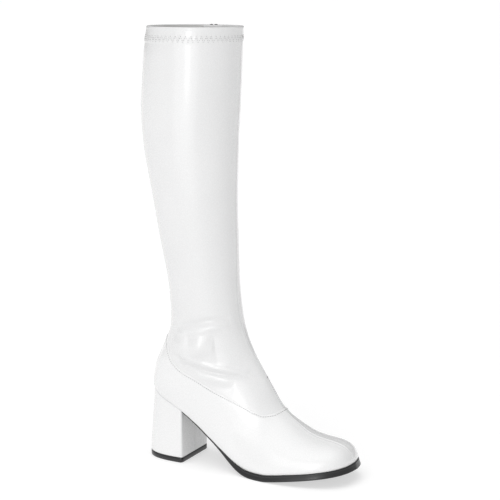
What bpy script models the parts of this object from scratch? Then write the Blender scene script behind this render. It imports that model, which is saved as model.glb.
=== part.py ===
"""A knee-high go-go boot for the right foot, with a block heel and an inside zip.

Metres, +Z up, +X towards the toe, +Y towards the inner (medial) side of the foot.
The origin is the centre of the heel's top piece, on the floor.
"""

import math

import bmesh
import bpy
import numpy as np
from mathutils import Matrix, Vector

# Driving sizes of the last and of the leg
FOOT_LENGTH = 0.233
BALL_WIDTH = 0.085
HEEL_HEIGHT = 0.0775
ANKLE_HEIGHT = 0.083
LEG_HEIGHT = 0.3015
CALF_DEPTH = 0.105
CALF_WIDTH = 0.0935
LEG_AXIS = 0.051
TOE_SPRING = 0.0141

# Thicknesses of the sheet goods, and the gap that separate pieces keep
WALL = 0.0016
PANEL_STEP = 0.0007
HEM_STEP = 0.0005
HEM_HEIGHT = 0.0165
SEAM_RIDGE = 0.0006
SEAM_WIDTH = 0.0030
GAP = 0.0003

# Bottom pieces
SOLE_THICKNESS = 0.0068
SOLE_LEDGE = 0.0010
SOLE_FLARE = 0.0022
EDGE_CHAMFER = 0.0011
INSOLE_THICKNESS = 0.0030
BREAST_AT = 0.0460
TOP_PIECE_THICKNESS = 0.0055
TOP_PIECE_BACK = -0.0034
TOP_PIECE_LATERAL = 0.0295
TOP_PIECE_MEDIAL = 0.0285
BREAST_RADIUS = 0.0040

# Inside zip
ZIP_GAP = 0.0062
ZIP_TOP_INSET = 0.0030
CHAIN_WIDTH = 0.0056
CHAIN_THICKNESS = 0.0019
TAPE_WIDTH = 0.0220
TAPE_THICKNESS = 0.0006
SLIDER_LENGTH = 0.0105
SLIDER_WIDTH = 0.0088
SLIDER_PLATE = 0.0013
BRIDGE_RADIUS = 0.0007
PULL_LENGTH = 0.0270
PULL_WIDTH = 0.0070
PULL_THICKNESS = 0.0010
PULL_BAR = 0.0012
EYE_LENGTH = 0.0041
EYE_WIDTH = 0.0036

# X of the upper's heel back, so that the top piece is centred on the origin
HEEL_BACK_X = -(BREAST_AT + TOP_PIECE_BACK) / 2

# Level sections of the leg, from the collar down to just above the ankle.
# up: share of LEG_HEIGHT above the ankle; back, front: shares of CALF_DEPTH from the leg's axis;
# lateral, medial: shares of half of CALF_WIDTH; belly: where the section is widest, from back to front.
LEG_SECTIONS = (
    # up, back, front, lateral, medial, belly, back_round, front_round
    (1.000, -0.494, 0.462, 0.960, 0.960, 0.48, 2.05, 2.05),
    (0.900, -0.541, 0.452, 0.990, 0.990, 0.48, 2.05, 2.05),
    (0.760, -0.570, 0.437, 1.000, 1.000, 0.47, 2.05, 2.05),
    (0.620, -0.556, 0.418, 0.985, 0.975, 0.46, 2.05, 2.05),
    (0.470, -0.486, 0.405, 0.920, 0.910, 0.46, 2.05, 2.05),
    (0.320, -0.410, 0.412, 0.840, 0.830, 0.46, 2.05, 2.05),
    (0.180, -0.330, 0.427, 0.765, 0.755, 0.46, 2.05, 2.05),
    (0.075, -0.284, 0.452, 0.712, 0.702, 0.46, 2.05, 2.05),
)

# Sections of the ankle and foot, fanning from the leg round to the toe. Each runs from a point on the
# back or bottom of the last to a point on its front or top.
# x: shares of FOOT_LENGTH from the heel back; lift: share of HEEL_HEIGHT; up: share of ANKLE_HEIGHT;
# lateral, medial: shares of half of BALL_WIDTH. The toe spring is added by toe_rise.
FOOT_SECTIONS = (
    # back_x, back_lift, back_up, front_x, front_lift, front_up, lateral, medial, belly, back_round, front_round
    (0.093, 1.00, 0.960, 0.437, 1.00, 1.020, 0.740, 0.730, 0.46, 2.05, 2.00),
    (0.082, 1.00, 0.760, 0.453, 1.00, 0.850, 0.735, 0.725, 0.46, 2.05, 1.95),
    (0.048, 1.00, 0.530, 0.475, 1.00, 0.700, 0.740, 0.730, 0.45, 2.05, 1.90),
    (0.015, 1.00, 0.330, 0.496, 0.96, 0.618, 0.755, 0.745, 0.44, 2.10, 1.88),
    (0.001, 1.00, 0.150, 0.515, 0.90, 0.574, 0.768, 0.758, 0.44, 2.15, 1.85),
    (0.000, 1.00, 0.000, 0.534, 0.84, 0.546, 0.775, 0.765, 0.43, 2.20, 1.83),
    (0.018, 0.97, -0.120, 0.554, 0.76, 0.528, 0.775, 0.765, 0.43, 2.25, 1.82),
    (0.080, 0.86, -0.170, 0.576, 0.68, 0.506, 0.770, 0.760, 0.42, 2.30, 1.82),
    (0.180, 0.63, -0.150, 0.603, 0.58, 0.480, 0.765, 0.765, 0.41, 2.30, 1.82),
    (0.295, 0.35, -0.115, 0.632, 0.45, 0.472, 0.785, 0.790, 0.38, 2.20, 1.82),
    (0.405, 0.13, -0.090, 0.661, 0.33, 0.474, 0.860, 0.850, 0.34, 2.10, 1.82),
    (0.510, 0.03, -0.085, 0.692, 0.22, 0.484, 0.950, 0.925, 0.30, 2.05, 1.84),
    (0.605, 0.00, -0.080, 0.729, 0.13, 0.483, 0.995, 0.975, 0.28, 2.05, 1.88),
    (0.700, 0.00, -0.078, 0.776, 0.07, 0.440, 0.990, 0.980, 0.28, 2.05, 1.95),
    (0.790, 0.00, -0.074, 0.830, 0.03, 0.402, 0.950, 0.945, 0.29, 2.05, 2.05),
    (0.866, 0.00, -0.066, 0.884, 0.00, 0.382, 0.870, 0.870, 0.31, 2.10, 2.15),
    (0.927, 0.00, -0.054, 0.934, 0.00, 0.330, 0.735, 0.740, 0.34, 2.15, 2.20),
    (0.970, 0.00, -0.040, 0.972, 0.00, 0.252, 0.530, 0.535, 0.38, 2.20, 2.20),
    (0.993, 0.00, -0.022, 0.993, 0.00, 0.152, 0.275, 0.280, 0.42, 2.10, 2.10),
    (1.000, 0.00, -0.002, 1.000, 0.00, 0.090, 0.008, 0.008, 0.46, 2.00, 2.00),
)

# The seat, waist and tread of the last: height of the upper's lower edge above the forepart's sole.
SOLE_LINE = (
    # x share of FOOT_LENGTH, share of HEEL_HEIGHT above the sole
    (-0.10, 1.110),
    (0.00, 1.000),
    (0.09, 0.872),
    (0.18, 0.752),
    (0.26, 0.585),
    (0.34, 0.388),
    (0.42, 0.205),
    (0.49, 0.066),
    (0.53, 0.018),
    (0.58, 0.000),
    (1.10, 0.000),
)
TOE_RISE_FROM = 0.630
TOE_RISE_EASE = 0.05

# The outsole is thin under the waist and full under the forepart.
SOLE_TAPER = (
    # x share of FOOT_LENGTH, share of SOLE_THICKNESS
    (0.00, 0.26),
    (0.32, 0.27),
    (0.39, 0.44),
    (0.46, 0.74),
    (0.53, 0.95),
    (0.59, 1.00),
    (1.10, 1.00),
)

# The lapped seam where the foot panel covers the lower edge of the shaft, in side view.
PANEL_SEAM = (
    # x share of FOOT_LENGTH, share of ANKLE_HEIGHT, share of HEEL_HEIGHT
    (0.040, 0.860, 1.000),
    (0.078, 0.720, 1.000),
    (0.110, 0.590, 1.000),
    (0.142, 0.460, 0.990),
    (0.180, 0.372, 0.980),
    (0.270, 0.342, 0.880),
    (0.355, 0.345, 0.750),
    (0.430, 0.365, 0.632),
    (0.505, 0.395, 0.505),
    (0.560, 0.410, 0.415),
    (0.602, 0.418, 0.375),
    (0.630, 0.428, 0.375),
    (0.660, 0.456, 0.390),
    (0.700, 0.490, 0.410),
)

WHITE_PU = (0.86, 0.86, 0.86, 1.0)
BLACK_RUBBER = (0.012, 0.012, 0.013, 1.0)
LINING_GREY = (0.55, 0.55, 0.54, 1.0)
NICKEL = (0.45, 0.45, 0.46, 1.0)


def table(rows, column):
    return np.array([row[column] for row in rows])


def spline_bends(values):
    """Second derivatives of the natural cubic spline through evenly spaced rows of values."""
    count = len(values)
    system = np.eye(count)
    right = np.zeros_like(values)
    for i in range(1, count - 1):
        system[i, i - 1 : i + 2] = (1.0, 4.0, 1.0)
        right[i] = 6.0 * (values[i - 1] - 2.0 * values[i] + values[i + 1])
    return np.linalg.solve(system, right)


def spline_at(values, bends, s):
    """The spline's rows at the positions s, which count rows from 0."""
    s = np.asarray(s, float)
    low = np.clip(np.floor(s).astype(int), 0, len(values) - 2)
    u = (s - low)[..., None]
    v = 1.0 - u
    curve = (v**3 - v) * bends[low] + (u**3 - u) * bends[low + 1]
    return v * values[low] + u * values[low + 1] + curve / 6.0


def smooth_line(x, xs, ys):
    """A curve through a table's points with no overshoot (monotone cubic)."""
    slopes = np.gradient(ys, xs)
    steps = np.diff(ys) / np.diff(xs)
    slopes[1:-1] = np.where(steps[1:] * steps[:-1] > 0, slopes[1:-1], 0.0)
    slopes[0], slopes[-1] = steps[0], steps[-1]
    x = np.clip(x, xs[0], xs[-1])
    i = np.clip(np.searchsorted(xs, x, side="right") - 1, 0, len(xs) - 2)
    span = xs[i + 1] - xs[i]
    u = (x - xs[i]) / span
    rise = u * u * (3 - 2 * u)
    ends = span * (slopes[i] * u * (1 - u) ** 2 - slopes[i + 1] * u * u * (1 - u))
    return ys[i] + (ys[i + 1] - ys[i]) * rise + ends


def toe_rise(share):
    """The toe spring, which eases in at the front of the flat tread."""
    beyond = np.clip((share - TOE_RISE_FROM) / (1.0 - TOE_RISE_FROM), 0.0, None)
    eased = np.hypot(beyond, TOE_RISE_EASE) - TOE_RISE_EASE
    return TOE_SPRING * eased / (math.hypot(1.0, TOE_RISE_EASE) - TOE_RISE_EASE)


def edge_height(x):
    """Height of the upper's lower edge at x metres from the heel back."""
    share = np.asarray(x) / FOOT_LENGTH
    lift = smooth_line(share, table(SOLE_LINE, 0), table(SOLE_LINE, 1))
    return lift * (HEEL_HEIGHT - SOLE_THICKNESS) + SOLE_THICKNESS + toe_rise(share)


def sole_thickness(x):
    share = np.asarray(x) / FOOT_LENGTH
    return SOLE_THICKNESS * smooth_line(share, table(SOLE_TAPER, 0), table(SOLE_TAPER, 1))


def seam_height(x):
    """Height of the lapped seam at x metres from the heel back."""
    share = np.asarray(x) / FOOT_LENGTH
    up = smooth_line(share, table(PANEL_SEAM, 0), table(PANEL_SEAM, 1))
    lift = smooth_line(share, table(PANEL_SEAM, 0), table(PANEL_SEAM, 2))
    return up * ANKLE_HEIGHT + lift * HEEL_HEIGHT


def section_rows():
    """Every section in metres: back x, back z, front x, front z, lateral, medial, belly, two roundnesses."""
    rows = []
    for up, back, front, lateral, medial, belly, back_round, front_round in LEG_SECTIONS:
        height = HEEL_HEIGHT + ANKLE_HEIGHT + up * LEG_HEIGHT
        half = CALF_WIDTH / 2
        rows.append(
            (
                LEG_AXIS + back * CALF_DEPTH,
                height,
                LEG_AXIS + front * CALF_DEPTH,
                height,
                lateral * half,
                medial * half,
                belly,
                back_round,
                front_round,
            )
        )
    for back_x, back_lift, back_up, front_x, front_lift, front_up, *form in FOOT_SECTIONS:
        lateral, medial, belly, back_round, front_round = form
        half = BALL_WIDTH / 2
        rows.append(
            (
                back_x * FOOT_LENGTH,
                back_lift * HEEL_HEIGHT + back_up * ANKLE_HEIGHT + toe_rise(back_x),
                front_x * FOOT_LENGTH,
                front_lift * HEEL_HEIGHT + front_up * ANKLE_HEIGHT + toe_rise(front_x),
                lateral * half,
                medial * half,
                belly,
                back_round,
                front_round,
            )
        )
    return np.array(rows)


SECTIONS = section_rows()
BENDS = spline_bends(SECTIONS)
LAST_SECTION = len(SECTIONS) - 1.0
ANKLE_SECTION = len(LEG_SECTIONS) - 1.0
TOE_TIP_SECTION = LAST_SECTION - 0.10


def around(section, angle):
    """Share along the section and share of its half-width, at an angle from its back (0) to its front (pi)."""
    belly, back_round, front_round = section[..., 6], section[..., 7], section[..., 8]
    cosine = np.cos(angle)
    front = cosine < 0
    roundness = np.where(front, front_round, back_round)
    reach = np.abs(cosine) ** (2.0 / roundness)
    width = np.abs(np.sin(angle)) ** (2.0 / roundness)
    along = np.where(front, belly + (1.0 - belly) * reach, belly * (1.0 - reach))
    return along, width


def skin(s, c):
    """Points of the last's closed form under the upper, measured from the heel back.

    s counts sections from the collar to the toe tip. c goes round from the back or bottom centre (0), by the
    lateral side, over the front centre (0.5) and back by the medial side (1).
    """
    s, c = np.broadcast_arrays(np.asarray(s, float), np.asarray(c, float))
    section = spline_at(SECTIONS, BENDS, s)
    lateral = c <= 0.5
    along, width = around(section, math.pi * np.where(lateral, 2.0 * c, 2.0 * (1.0 - c)))
    x = section[..., 0] + along * (section[..., 2] - section[..., 0])
    z = section[..., 1] + along * (section[..., 3] - section[..., 1])
    y = np.where(lateral, -section[..., 4], section[..., 5]) * width
    return np.stack([x, y, z], -1)


def skin_normals(s, c):
    """Outward unit normals of the skin, by small differences."""
    step_s, step_c = 0.02, 0.004
    down = skin(np.minimum(s + step_s, LAST_SECTION), c) - skin(np.maximum(s - step_s, 0), c)
    across = skin(s, (c + step_c) % 1.0) - skin(s, (c - step_c) % 1.0)
    normal = np.cross(down, across)
    length = np.linalg.norm(normal, axis=-1, keepdims=True)
    return normal / np.maximum(length, 1e-12)


def first_root(test, low, high):
    """Where test turns from true to false between low and high, for arrays."""
    for _ in range(40):
        middle = (low + high) / 2
        true = test(middle)
        low = np.where(true, middle, low)
        high = np.where(true, high, middle)
    return (low + high) / 2


def above_edge(s, c):
    """Height of the skin above the upper's lower edge."""
    point = skin(s, c)
    return point[..., 2] - edge_height(point[..., 0])


def above_seam(s, c):
    """Height of the skin above the lapped seam."""
    point = skin(s, c)
    return point[..., 2] - seam_height(point[..., 0])


def girth(s):
    """Length round a section, as of an ellipse."""
    section = spline_at(SECTIONS, BENDS, s)
    a = np.hypot(section[..., 2] - section[..., 0], section[..., 3] - section[..., 1]) / 2
    b = (section[..., 4] + section[..., 5]) / 2
    return math.pi * (3 * (a + b) - np.sqrt((3 * a + b) * (a + 3 * b)))


def seam_section(c):
    """The section at which a line down the boot crosses the lapped seam."""
    return float(first_root(lambda s: above_seam(s, c) > 0, ANKLE_SECTION, LAST_SECTION))


def opening_section():
    """The section at which the heel back reaches the upper's lower edge."""
    return float(first_root(lambda s: above_edge(s, 0.0) > 0, ANKLE_SECTION, LAST_SECTION))


def hem_section():
    collar = HEEL_HEIGHT + ANKLE_HEIGHT + LEG_HEIGHT

    def in_hem(s):
        return skin(s, 0.5)[..., 2] > collar - HEM_HEIGHT

    return float(first_root(in_hem, 0.0, ANKLE_SECTION))


# How finely the upper is faceted
LEG_ROWS = 13
FOOT_ROWS = 40
SIDE_COLUMNS = 17
JOG = 0.03
ZIP_LINE = 0.75
SNAP = 0.25


def grid_rows():
    """Sections of the grid's rows, and the index of the row where the zip's slit ends."""
    hem = hem_section()
    leg = np.linspace(hem, ANKLE_SECTION, LEG_ROWS)
    foot = np.linspace(ANKLE_SECTION, TOE_TIP_SECTION, FOOT_ROWS + 1)[1:]
    rows = np.concatenate([[0.0, hem - JOG], leg, foot])
    return rows, int(np.searchsorted(rows, seam_section(ZIP_LINE) - 0.4)) - 1


def grid_columns(rows):
    """Shares round the boot for every row and column, and the index of the zip slit's first column."""
    spacing = 0.5 / SIDE_COLUMNS
    lateral = np.arange(SIDE_COLUMNS) * spacing
    medial = 1.0 - lateral[:0:-1]
    medial = medial[np.abs(medial - ZIP_LINE) > 0.9 * spacing]
    zip_edge = int(np.searchsorted(medial, ZIP_LINE))
    zip_column = len(lateral) + 3 + zip_edge
    shares = np.concatenate([lateral, np.full(3, 0.5), medial[:zip_edge], [ZIP_LINE] * 2, medial[zip_edge:]])
    offsets = np.zeros(len(shares))
    offsets[len(lateral)], offsets[len(lateral) + 2] = -SEAM_WIDTH / 2, SEAM_WIDTH / 2
    offsets[zip_column], offsets[zip_column + 1] = -ZIP_GAP / 2, ZIP_GAP / 2
    most = np.where(shares == 0.5, 0.35, 0.70) * spacing
    return shares + np.clip(offsets / girth(rows)[:, None], -most, most), zip_column


def between(start, end, share):
    """Parameters part of the way from start to end, the short way round the back."""
    c_end = end[:, 1] - np.round(end[:, 1] - start[:, 1])
    s = start[:, 0] + (end[:, 0] - start[:, 0]) * share
    return np.column_stack([s, (start[:, 1] + (c_end - start[:, 1]) * share) % 1.0])


def cut(points, faces, field):
    """Splits a sheet's faces where field(s, c) is 0.

    Returns the points' parameters with those on the line added or moved onto it, the faces above and below
    the line, and a flag for each point on it.
    """
    points = points.copy()
    value = field(points[:, 0], points[:, 1])
    edges = np.array(sorted({tuple(sorted(e)) for face in faces for e in zip(face, face[1:] + face[:1])}))
    edges = edges[value[edges[:, 0]] * value[edges[:, 1]] < 0]
    start, end = points[edges[:, 0]], points[edges[:, 1]]
    rising = value[edges[:, 0]] < 0

    def before(share):
        middle = between(start, end, share)
        return (field(middle[:, 0], middle[:, 1]) < 0) == rising

    share = first_root(before, np.zeros(len(edges)), np.ones(len(edges)))
    place = between(start, end, share)
    for side, close in ((0, share < SNAP), (1, share > 1 - SNAP)):
        points[edges[close, side]] = place[close]
        value[edges[close, side]] = 0.0
    left = value[edges[:, 0]] * value[edges[:, 1]] < 0
    added = {tuple(edge): len(points) + k for k, edge in enumerate(edges[left].tolist())}
    points = np.concatenate([points, place[left]])
    value = np.concatenate([value, np.zeros(int(left.sum()))])
    above, below = [], []
    for face in faces:
        upper, lower = [], []
        for a, b in zip(face, face[1:] + face[:1]):
            if value[a] >= 0:
                upper.append(a)
            if value[a] <= 0:
                lower.append(a)
            middle = added.get((min(a, b), max(a, b)))
            if middle is not None:
                upper.append(middle)
                lower.append(middle)
        if any(value[v] > 0 for v in upper):
            above.append(tuple(upper))
        if any(value[v] < 0 for v in lower):
            below.append(tuple(lower))
    return points, above, below, value == 0


def upper_sheet():
    """The upper as a sheet of parameters: its points, its faces above and below the lapped seam, and flags
    for the points on the lower edge and on the seam."""
    rows, zip_end = grid_rows()
    columns, zip_column = grid_columns(rows)
    count = columns.shape[1]
    points = np.column_stack([np.repeat(rows, count), columns.reshape(-1)])
    faces = []
    for i in range(len(rows) - 1):
        for j in range(count):
            if j == zip_column and i < zip_end:
                continue
            a, b = i * count + j, i * count + (j + 1) % count
            faces.append((a, b, b + count, a + count))
    last = (len(rows) - 1) * count
    faces.append(tuple(range(last, last + count)))
    points, faces, _, at_edge = cut(points, faces, above_edge)
    points, shaft, foot, at_seam = cut(points, faces, above_seam)
    at_edge = np.concatenate([at_edge, np.zeros(len(points) - len(at_edge), bool)])
    return points, shaft, foot, at_edge, at_seam


def wall_points(sheet, steps):
    """Points at a height above the skin (or below, where negative), held to the lower edge."""
    points, at_edge = sheet[0], sheet[3]
    s, c = points[:, 0], points[:, 1]
    placed = skin(s, c) + skin_normals(s, c) * steps[:, None]
    placed[at_edge, 2] = edge_height(placed[at_edge, 0])
    return placed


def free_edges(faces):
    """Directed edges that only one face uses."""
    free = {}
    for face in faces:
        for a, b in zip(face, face[1:] + face[:1]):
            if free.pop((b, a), None) is None:
                free[(a, b)] = True
    return list(free)


def collection(name):
    made = bpy.data.collections.new(name)
    bpy.context.scene.collection.children.link(made)
    return made


def material(name, colour, roughness, metallic=0.0):
    made = bpy.data.materials.new(name)
    made.use_nodes = True
    shader = made.node_tree.nodes["Principled BSDF"]
    shader.inputs["Base Color"].default_value = colour
    shader.inputs["Roughness"].default_value = roughness
    shader.inputs["Metallic"].default_value = metallic
    return made


def add_object(name, mesh, finish, target):
    made = bpy.data.objects.new(name, mesh)
    target.objects.link(made)
    mesh.materials.append(finish)
    mesh.shade_smooth()
    mesh.set_sharp_from_angle(angle=math.radians(40))
    return made


def mesh_from(name, points, faces):
    """A mesh whose points are measured from the heel back, moved to the boot's origin."""
    mesh = bpy.data.meshes.new(name)
    placed = np.asarray(points, float) + (HEEL_BACK_X, 0.0, 0.0)
    mesh.from_pydata([tuple(p) for p in placed], [], faces)
    build = bmesh.new()
    build.from_mesh(mesh)
    bmesh.ops.delete(build, geom=[v for v in build.verts if not v.link_faces], context="VERTS")
    bmesh.ops.recalc_face_normals(build, faces=build.faces)
    build.to_mesh(mesh)
    build.free()
    return mesh


def make_upper(sheet, finish, target):
    """One sheet from the collar to the lower edge, with a wall's thickness, a hem, a raised front seam and a
    foot panel that laps over the shaft."""
    points, shaft, foot, at_edge, at_seam = sheet
    count = len(points)
    hem = hem_section()
    raised = np.where(points[:, 0] < hem - JOG / 2, HEM_STEP, 0.0)
    raised += np.where(np.isclose(points[:, 1], 0.5), SEAM_RIDGE, 0.0)
    in_foot = np.zeros(count, bool)
    in_foot[sorted({v for face in foot for v in face})] = True
    lapped = raised + PANEL_STEP
    outer = wall_points(sheet, np.where(in_foot & ~at_seam, lapped, raised))
    over = wall_points(sheet, lapped)[at_seam]
    inner = wall_points(sheet, np.full(count, -WALL))
    twin = {int(v): count + k for k, v in enumerate(np.flatnonzero(at_seam))}
    below = count + len(over)
    lap = [(b, a, twin[a], twin[b]) for a, b in free_edges(shaft) if a in twin and b in twin]
    rim = [(b, a, a + below, b + below) for a, b in free_edges(shaft + foot)]
    inside = [tuple(v + below for v in reversed(face)) for face in shaft + foot]
    outside = shaft + [tuple(twin.get(v, v) for v in face) for face in foot]
    mesh = mesh_from("upper", np.concatenate([outer, over, inner]), outside + lap + rim + inside)
    return add_object("upper", mesh, finish, target)


def edge_angle(s):
    """The angle at which each section meets the upper's lower edge, or 0 where it closes at the back."""
    section = spline_at(SECTIONS, BENDS, s)

    def below(angle):
        along, _ = around(section, angle)
        x = section[..., 0] + along * (section[..., 2] - section[..., 0])
        z = section[..., 1] + along * (section[..., 3] - section[..., 1])
        return z < edge_height(x)

    return first_root(below, np.zeros(section.shape[:-1]), np.full(section.shape[:-1], math.pi))


def lower_edge(count):
    """The upper's lower edge on the lateral and the medial side, from the heel back to the toe tip."""
    share = np.linspace(0.0, 1.0, count)
    start = opening_section()
    s = start + (TOE_TIP_SECTION - start) * share**1.6
    turn = edge_angle(s) / (2 * math.pi)
    return skin(s, turn), skin(s, 1.0 - turn)


def facet_height(sheet, x):
    """Height of the faceted upper's lower edge, which the pieces under it and in it follow."""
    points, at_edge = sheet[0], sheet[3]
    edge = skin(points[at_edge, 0], points[at_edge, 1])
    heights = []
    for side in (edge[edge[:, 1] <= 1e-6], edge[edge[:, 1] >= -1e-6]):
        side = side[np.argsort(side[:, 0])]
        heights.append(np.interp(x, side[:, 0], edge_height(side[:, 0])))
    return np.minimum(*heights)


def plan_offset(line, distance):
    """A plan line moved outwards by a distance at each point."""
    along = np.gradient(line[:, :2], axis=0)
    outward = np.stack([along[:, 1], -along[:, 0]], -1)
    outward /= np.maximum(np.linalg.norm(outward, axis=1, keepdims=True), 1e-12)
    return line[:, :2] + outward * distance[:, None]


def whole_outline(widen):
    """Closed plan outline of the lower edge, from the toe by the lateral side and heel to the medial side."""
    lateral, medial = lower_edge(160)
    loop = np.concatenate([lateral[::-1], medial[1:]])
    return plan_offset(loop, -widen(loop[:, 0]))


def half_widths(outline, stations):
    """Lateral and medial y of a closed outline at x stations."""
    back = int(np.argmin(outline[:, 0]))
    lateral, medial = outline[: back + 1][::-1], outline[back:]
    lateral = lateral[np.argsort(lateral[:, 0])]
    medial = medial[np.argsort(medial[:, 0])]
    return (
        np.interp(stations, lateral[:, 0], lateral[:, 1]),
        np.interp(stations, medial[:, 0], medial[:, 1]),
    )


def rounded_stations(start, end, count, round_start, round_end):
    """x stations from start to end, closer together at an end that is round in plan."""
    share = np.linspace(0.0, 1.0, count)
    if round_start and round_end:
        share = (1 - np.cos(math.pi * share)) / 2
    elif round_end:
        share = np.sin(math.pi / 2 * share)
    return start + (end - start) * share


def slab_faces(count_rows, count_columns):
    """Faces of a slab whose rows are closed loops, with a face at each end."""
    faces = [tuple(range(count_columns)), tuple(range((count_rows - 1) * count_columns, count_rows * count_columns))]
    for i in range(count_rows - 1):
        for j in range(count_columns):
            a, b = i * count_columns + j, i * count_columns + (j + 1) % count_columns
            faces.append((a, b, b + count_columns, a + count_columns))
    return faces


def make_outsole(sheet, finish, target):
    """Black unit from the breast to the toe: full under the forepart, thin under the waist."""

    def fullness(x):
        full = np.clip((x / FOOT_LENGTH - 0.36) / 0.18, 0.0, 1.0)
        return full * full * (3 - 2 * full)

    tread = whole_outline(lambda x: 0.0001 + (SOLE_LEDGE + SOLE_FLARE) * fullness(x))
    ledge = whole_outline(lambda x: 0.0001 + SOLE_LEDGE * fullness(x))
    tip = float(tread[:, 0].max())
    stations = rounded_stations(BREAST_AT + GAP, tip - 0.00005, 44, False, True)
    lateral, medial = half_widths(tread, stations)
    top_at = BREAST_AT + GAP + (stations - BREAST_AT - GAP) * (
        (float(ledge[:, 0].max()) - 0.00005 - BREAST_AT - GAP) / (stations[-1] - BREAST_AT - GAP)
    )
    top_lateral, top_medial = half_widths(ledge, top_at)
    top = facet_height(sheet, top_at) - GAP
    low = edge_height(stations) - sole_thickness(stations)
    chamfer = EDGE_CHAMFER * sole_thickness(stations) / SOLE_THICKNESS
    inset = np.minimum(chamfer, 0.4 * (medial - lateral))
    rows = []
    for i, x in enumerate(stations):
        rows += [
            (top_at[i], top_lateral[i], top[i]),
            (x, lateral[i], low[i] + chamfer[i]),
            (x, lateral[i] + inset[i], low[i]),
            (x, medial[i] - inset[i], low[i]),
            (x, medial[i], low[i] + chamfer[i]),
            (top_at[i], top_medial[i], top[i]),
        ]
    return add_object("outsole", mesh_from("outsole", rows, slab_faces(len(stations), 6)), finish, target)


def make_insole(sheet, finish, target):
    """Board and sock inside the upper, which close the foot from heel to toe."""
    outline = whole_outline(lambda x: np.full(len(x), -(WALL + PANEL_STEP + 2 * GAP)))
    back, tip = float(outline[:, 0].min()), float(outline[:, 0].max())
    stations = rounded_stations(back + 0.0001, tip - 0.0001, 40, True, True)
    lateral, medial = half_widths(outline, stations)
    bottom = facet_height(sheet, stations)
    rows = []
    for i, x in enumerate(stations):
        rows += [
            (x, lateral[i], bottom[i]),
            (x, medial[i], bottom[i]),
            (x, medial[i], bottom[i] + INSOLE_THICKNESS),
            (x, lateral[i], bottom[i] + INSOLE_THICKNESS),
        ]
    return add_object("insole", mesh_from("insole", rows, slab_faces(len(stations), 4)), finish, target)


def resample(line, count):
    """A polyline's points at even steps of its length."""
    length = np.concatenate([[0.0], np.cumsum(np.linalg.norm(np.diff(line, axis=0), axis=1))])
    wanted = np.linspace(0.0, length[-1], count)
    return np.stack([np.interp(wanted, length, line[:, k]) for k in range(line.shape[1])], -1)


HEEL_POINTS = 33
HEEL_ROWS = 7


def seat_line():
    """Plan line of the heel's top: the upper's lower edge, from lateral breast round the back."""
    outline = whole_outline(lambda x: np.full(len(x), 0.0002))
    behind = outline[outline[:, 0] < BREAST_AT]
    ends = half_widths(outline, np.array([BREAST_AT]))
    line = np.concatenate([[(BREAST_AT, ends[0][0])], behind, [(BREAST_AT, ends[1][0])]])
    return resample(line, HEEL_POINTS)


def top_piece_line():
    """Plan line of the heel's foot, a deep D that is straight at the breast."""
    turn = np.linspace(0.0, math.pi, 90)
    depth = BREAST_AT - TOP_PIECE_BACK
    x = BREAST_AT - depth * np.sin(turn) ** 0.72
    side = np.sign(np.cos(turn)) * np.abs(np.cos(turn)) ** 0.72
    y = np.where(side > 0, -TOP_PIECE_LATERAL, -TOP_PIECE_MEDIAL) * side
    return resample(np.stack([x, y], -1), HEEL_POINTS)


def round_breast(made, rows):
    """Rounds the two upright corners of the breast with a weighted Bevel."""
    build = bmesh.new()
    build.from_mesh(made.data)
    weight = build.edges.layers.float.new("bevel_weight_edge")
    build.verts.ensure_lookup_table()
    for edge in build.edges:
        low, high = sorted(v.index for v in edge.verts)
        upright = high - low == HEEL_POINTS
        if upright and low % HEEL_POINTS in (0, HEEL_POINTS - 1):
            edge[weight] = 1.0
    build.to_mesh(made.data)
    build.free()
    bevel = made.modifiers.new("Breast corners", "BEVEL")
    bevel.limit_method = "WEIGHT"
    bevel.width = BREAST_RADIUS
    bevel.segments = 4
    bevel.use_clamp_overlap = True


def loop_mesh(name, loops):
    """A closed mesh through plan loops with heights, capped at both ends by strips across."""
    faces = slab_faces(len(loops), HEEL_POINTS)[2:]
    half = HEEL_POINTS // 2
    for first in (0, (len(loops) - 1) * HEEL_POINTS):
        last = first + HEEL_POINTS - 1
        for i in range(half):
            corners = (first + i, first + i + 1, last - i - 1, last - i)
            faces.append(tuple(dict.fromkeys(corners)))
    return mesh_from(name, np.concatenate(loops), faces)


def make_heel(sheet, finish, target):
    """Covered block: a seat that follows the upper, sides that run down to the top piece."""
    seat, foot = seat_line(), top_piece_line()
    seat_z = facet_height(sheet, seat[:, 0]) - GAP
    foot_z = TOP_PIECE_THICKNESS + GAP
    loops = []
    for k in range(HEEL_ROWS):
        share = k / (HEEL_ROWS - 1)
        blend = share * share * (3 - 2 * share)
        plan = seat + (foot - seat) * (0.5 * share + 0.5 * blend)
        loops.append(np.column_stack([plan, seat_z + (foot_z - seat_z) * share]))
    made = add_object("heel", loop_mesh("heel", loops), finish, target)
    round_breast(made, HEEL_ROWS)
    return made


def make_top_piece(finish, target):
    """Black rubber lift under the heel, flush with it, with a flat tread."""
    foot = top_piece_line()
    loops = [
        np.column_stack([foot, np.full(HEEL_POINTS, TOP_PIECE_THICKNESS)]),
        np.column_stack([foot, np.zeros(HEEL_POINTS)]),
    ]
    made = add_object("top_piece", loop_mesh("top_piece", loops), finish, target)
    round_breast(made, 2)
    return made


def collar_height():
    return HEEL_HEIGHT + ANKLE_HEIGHT + LEG_HEIGHT


def below_collar(inset):
    """The section where the zip's line is this far below the collar."""

    def above(s):
        return skin(s, ZIP_LINE)[..., 2] > collar_height() - inset

    return float(first_root(above, 0.0, ANKLE_SECTION))


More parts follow.
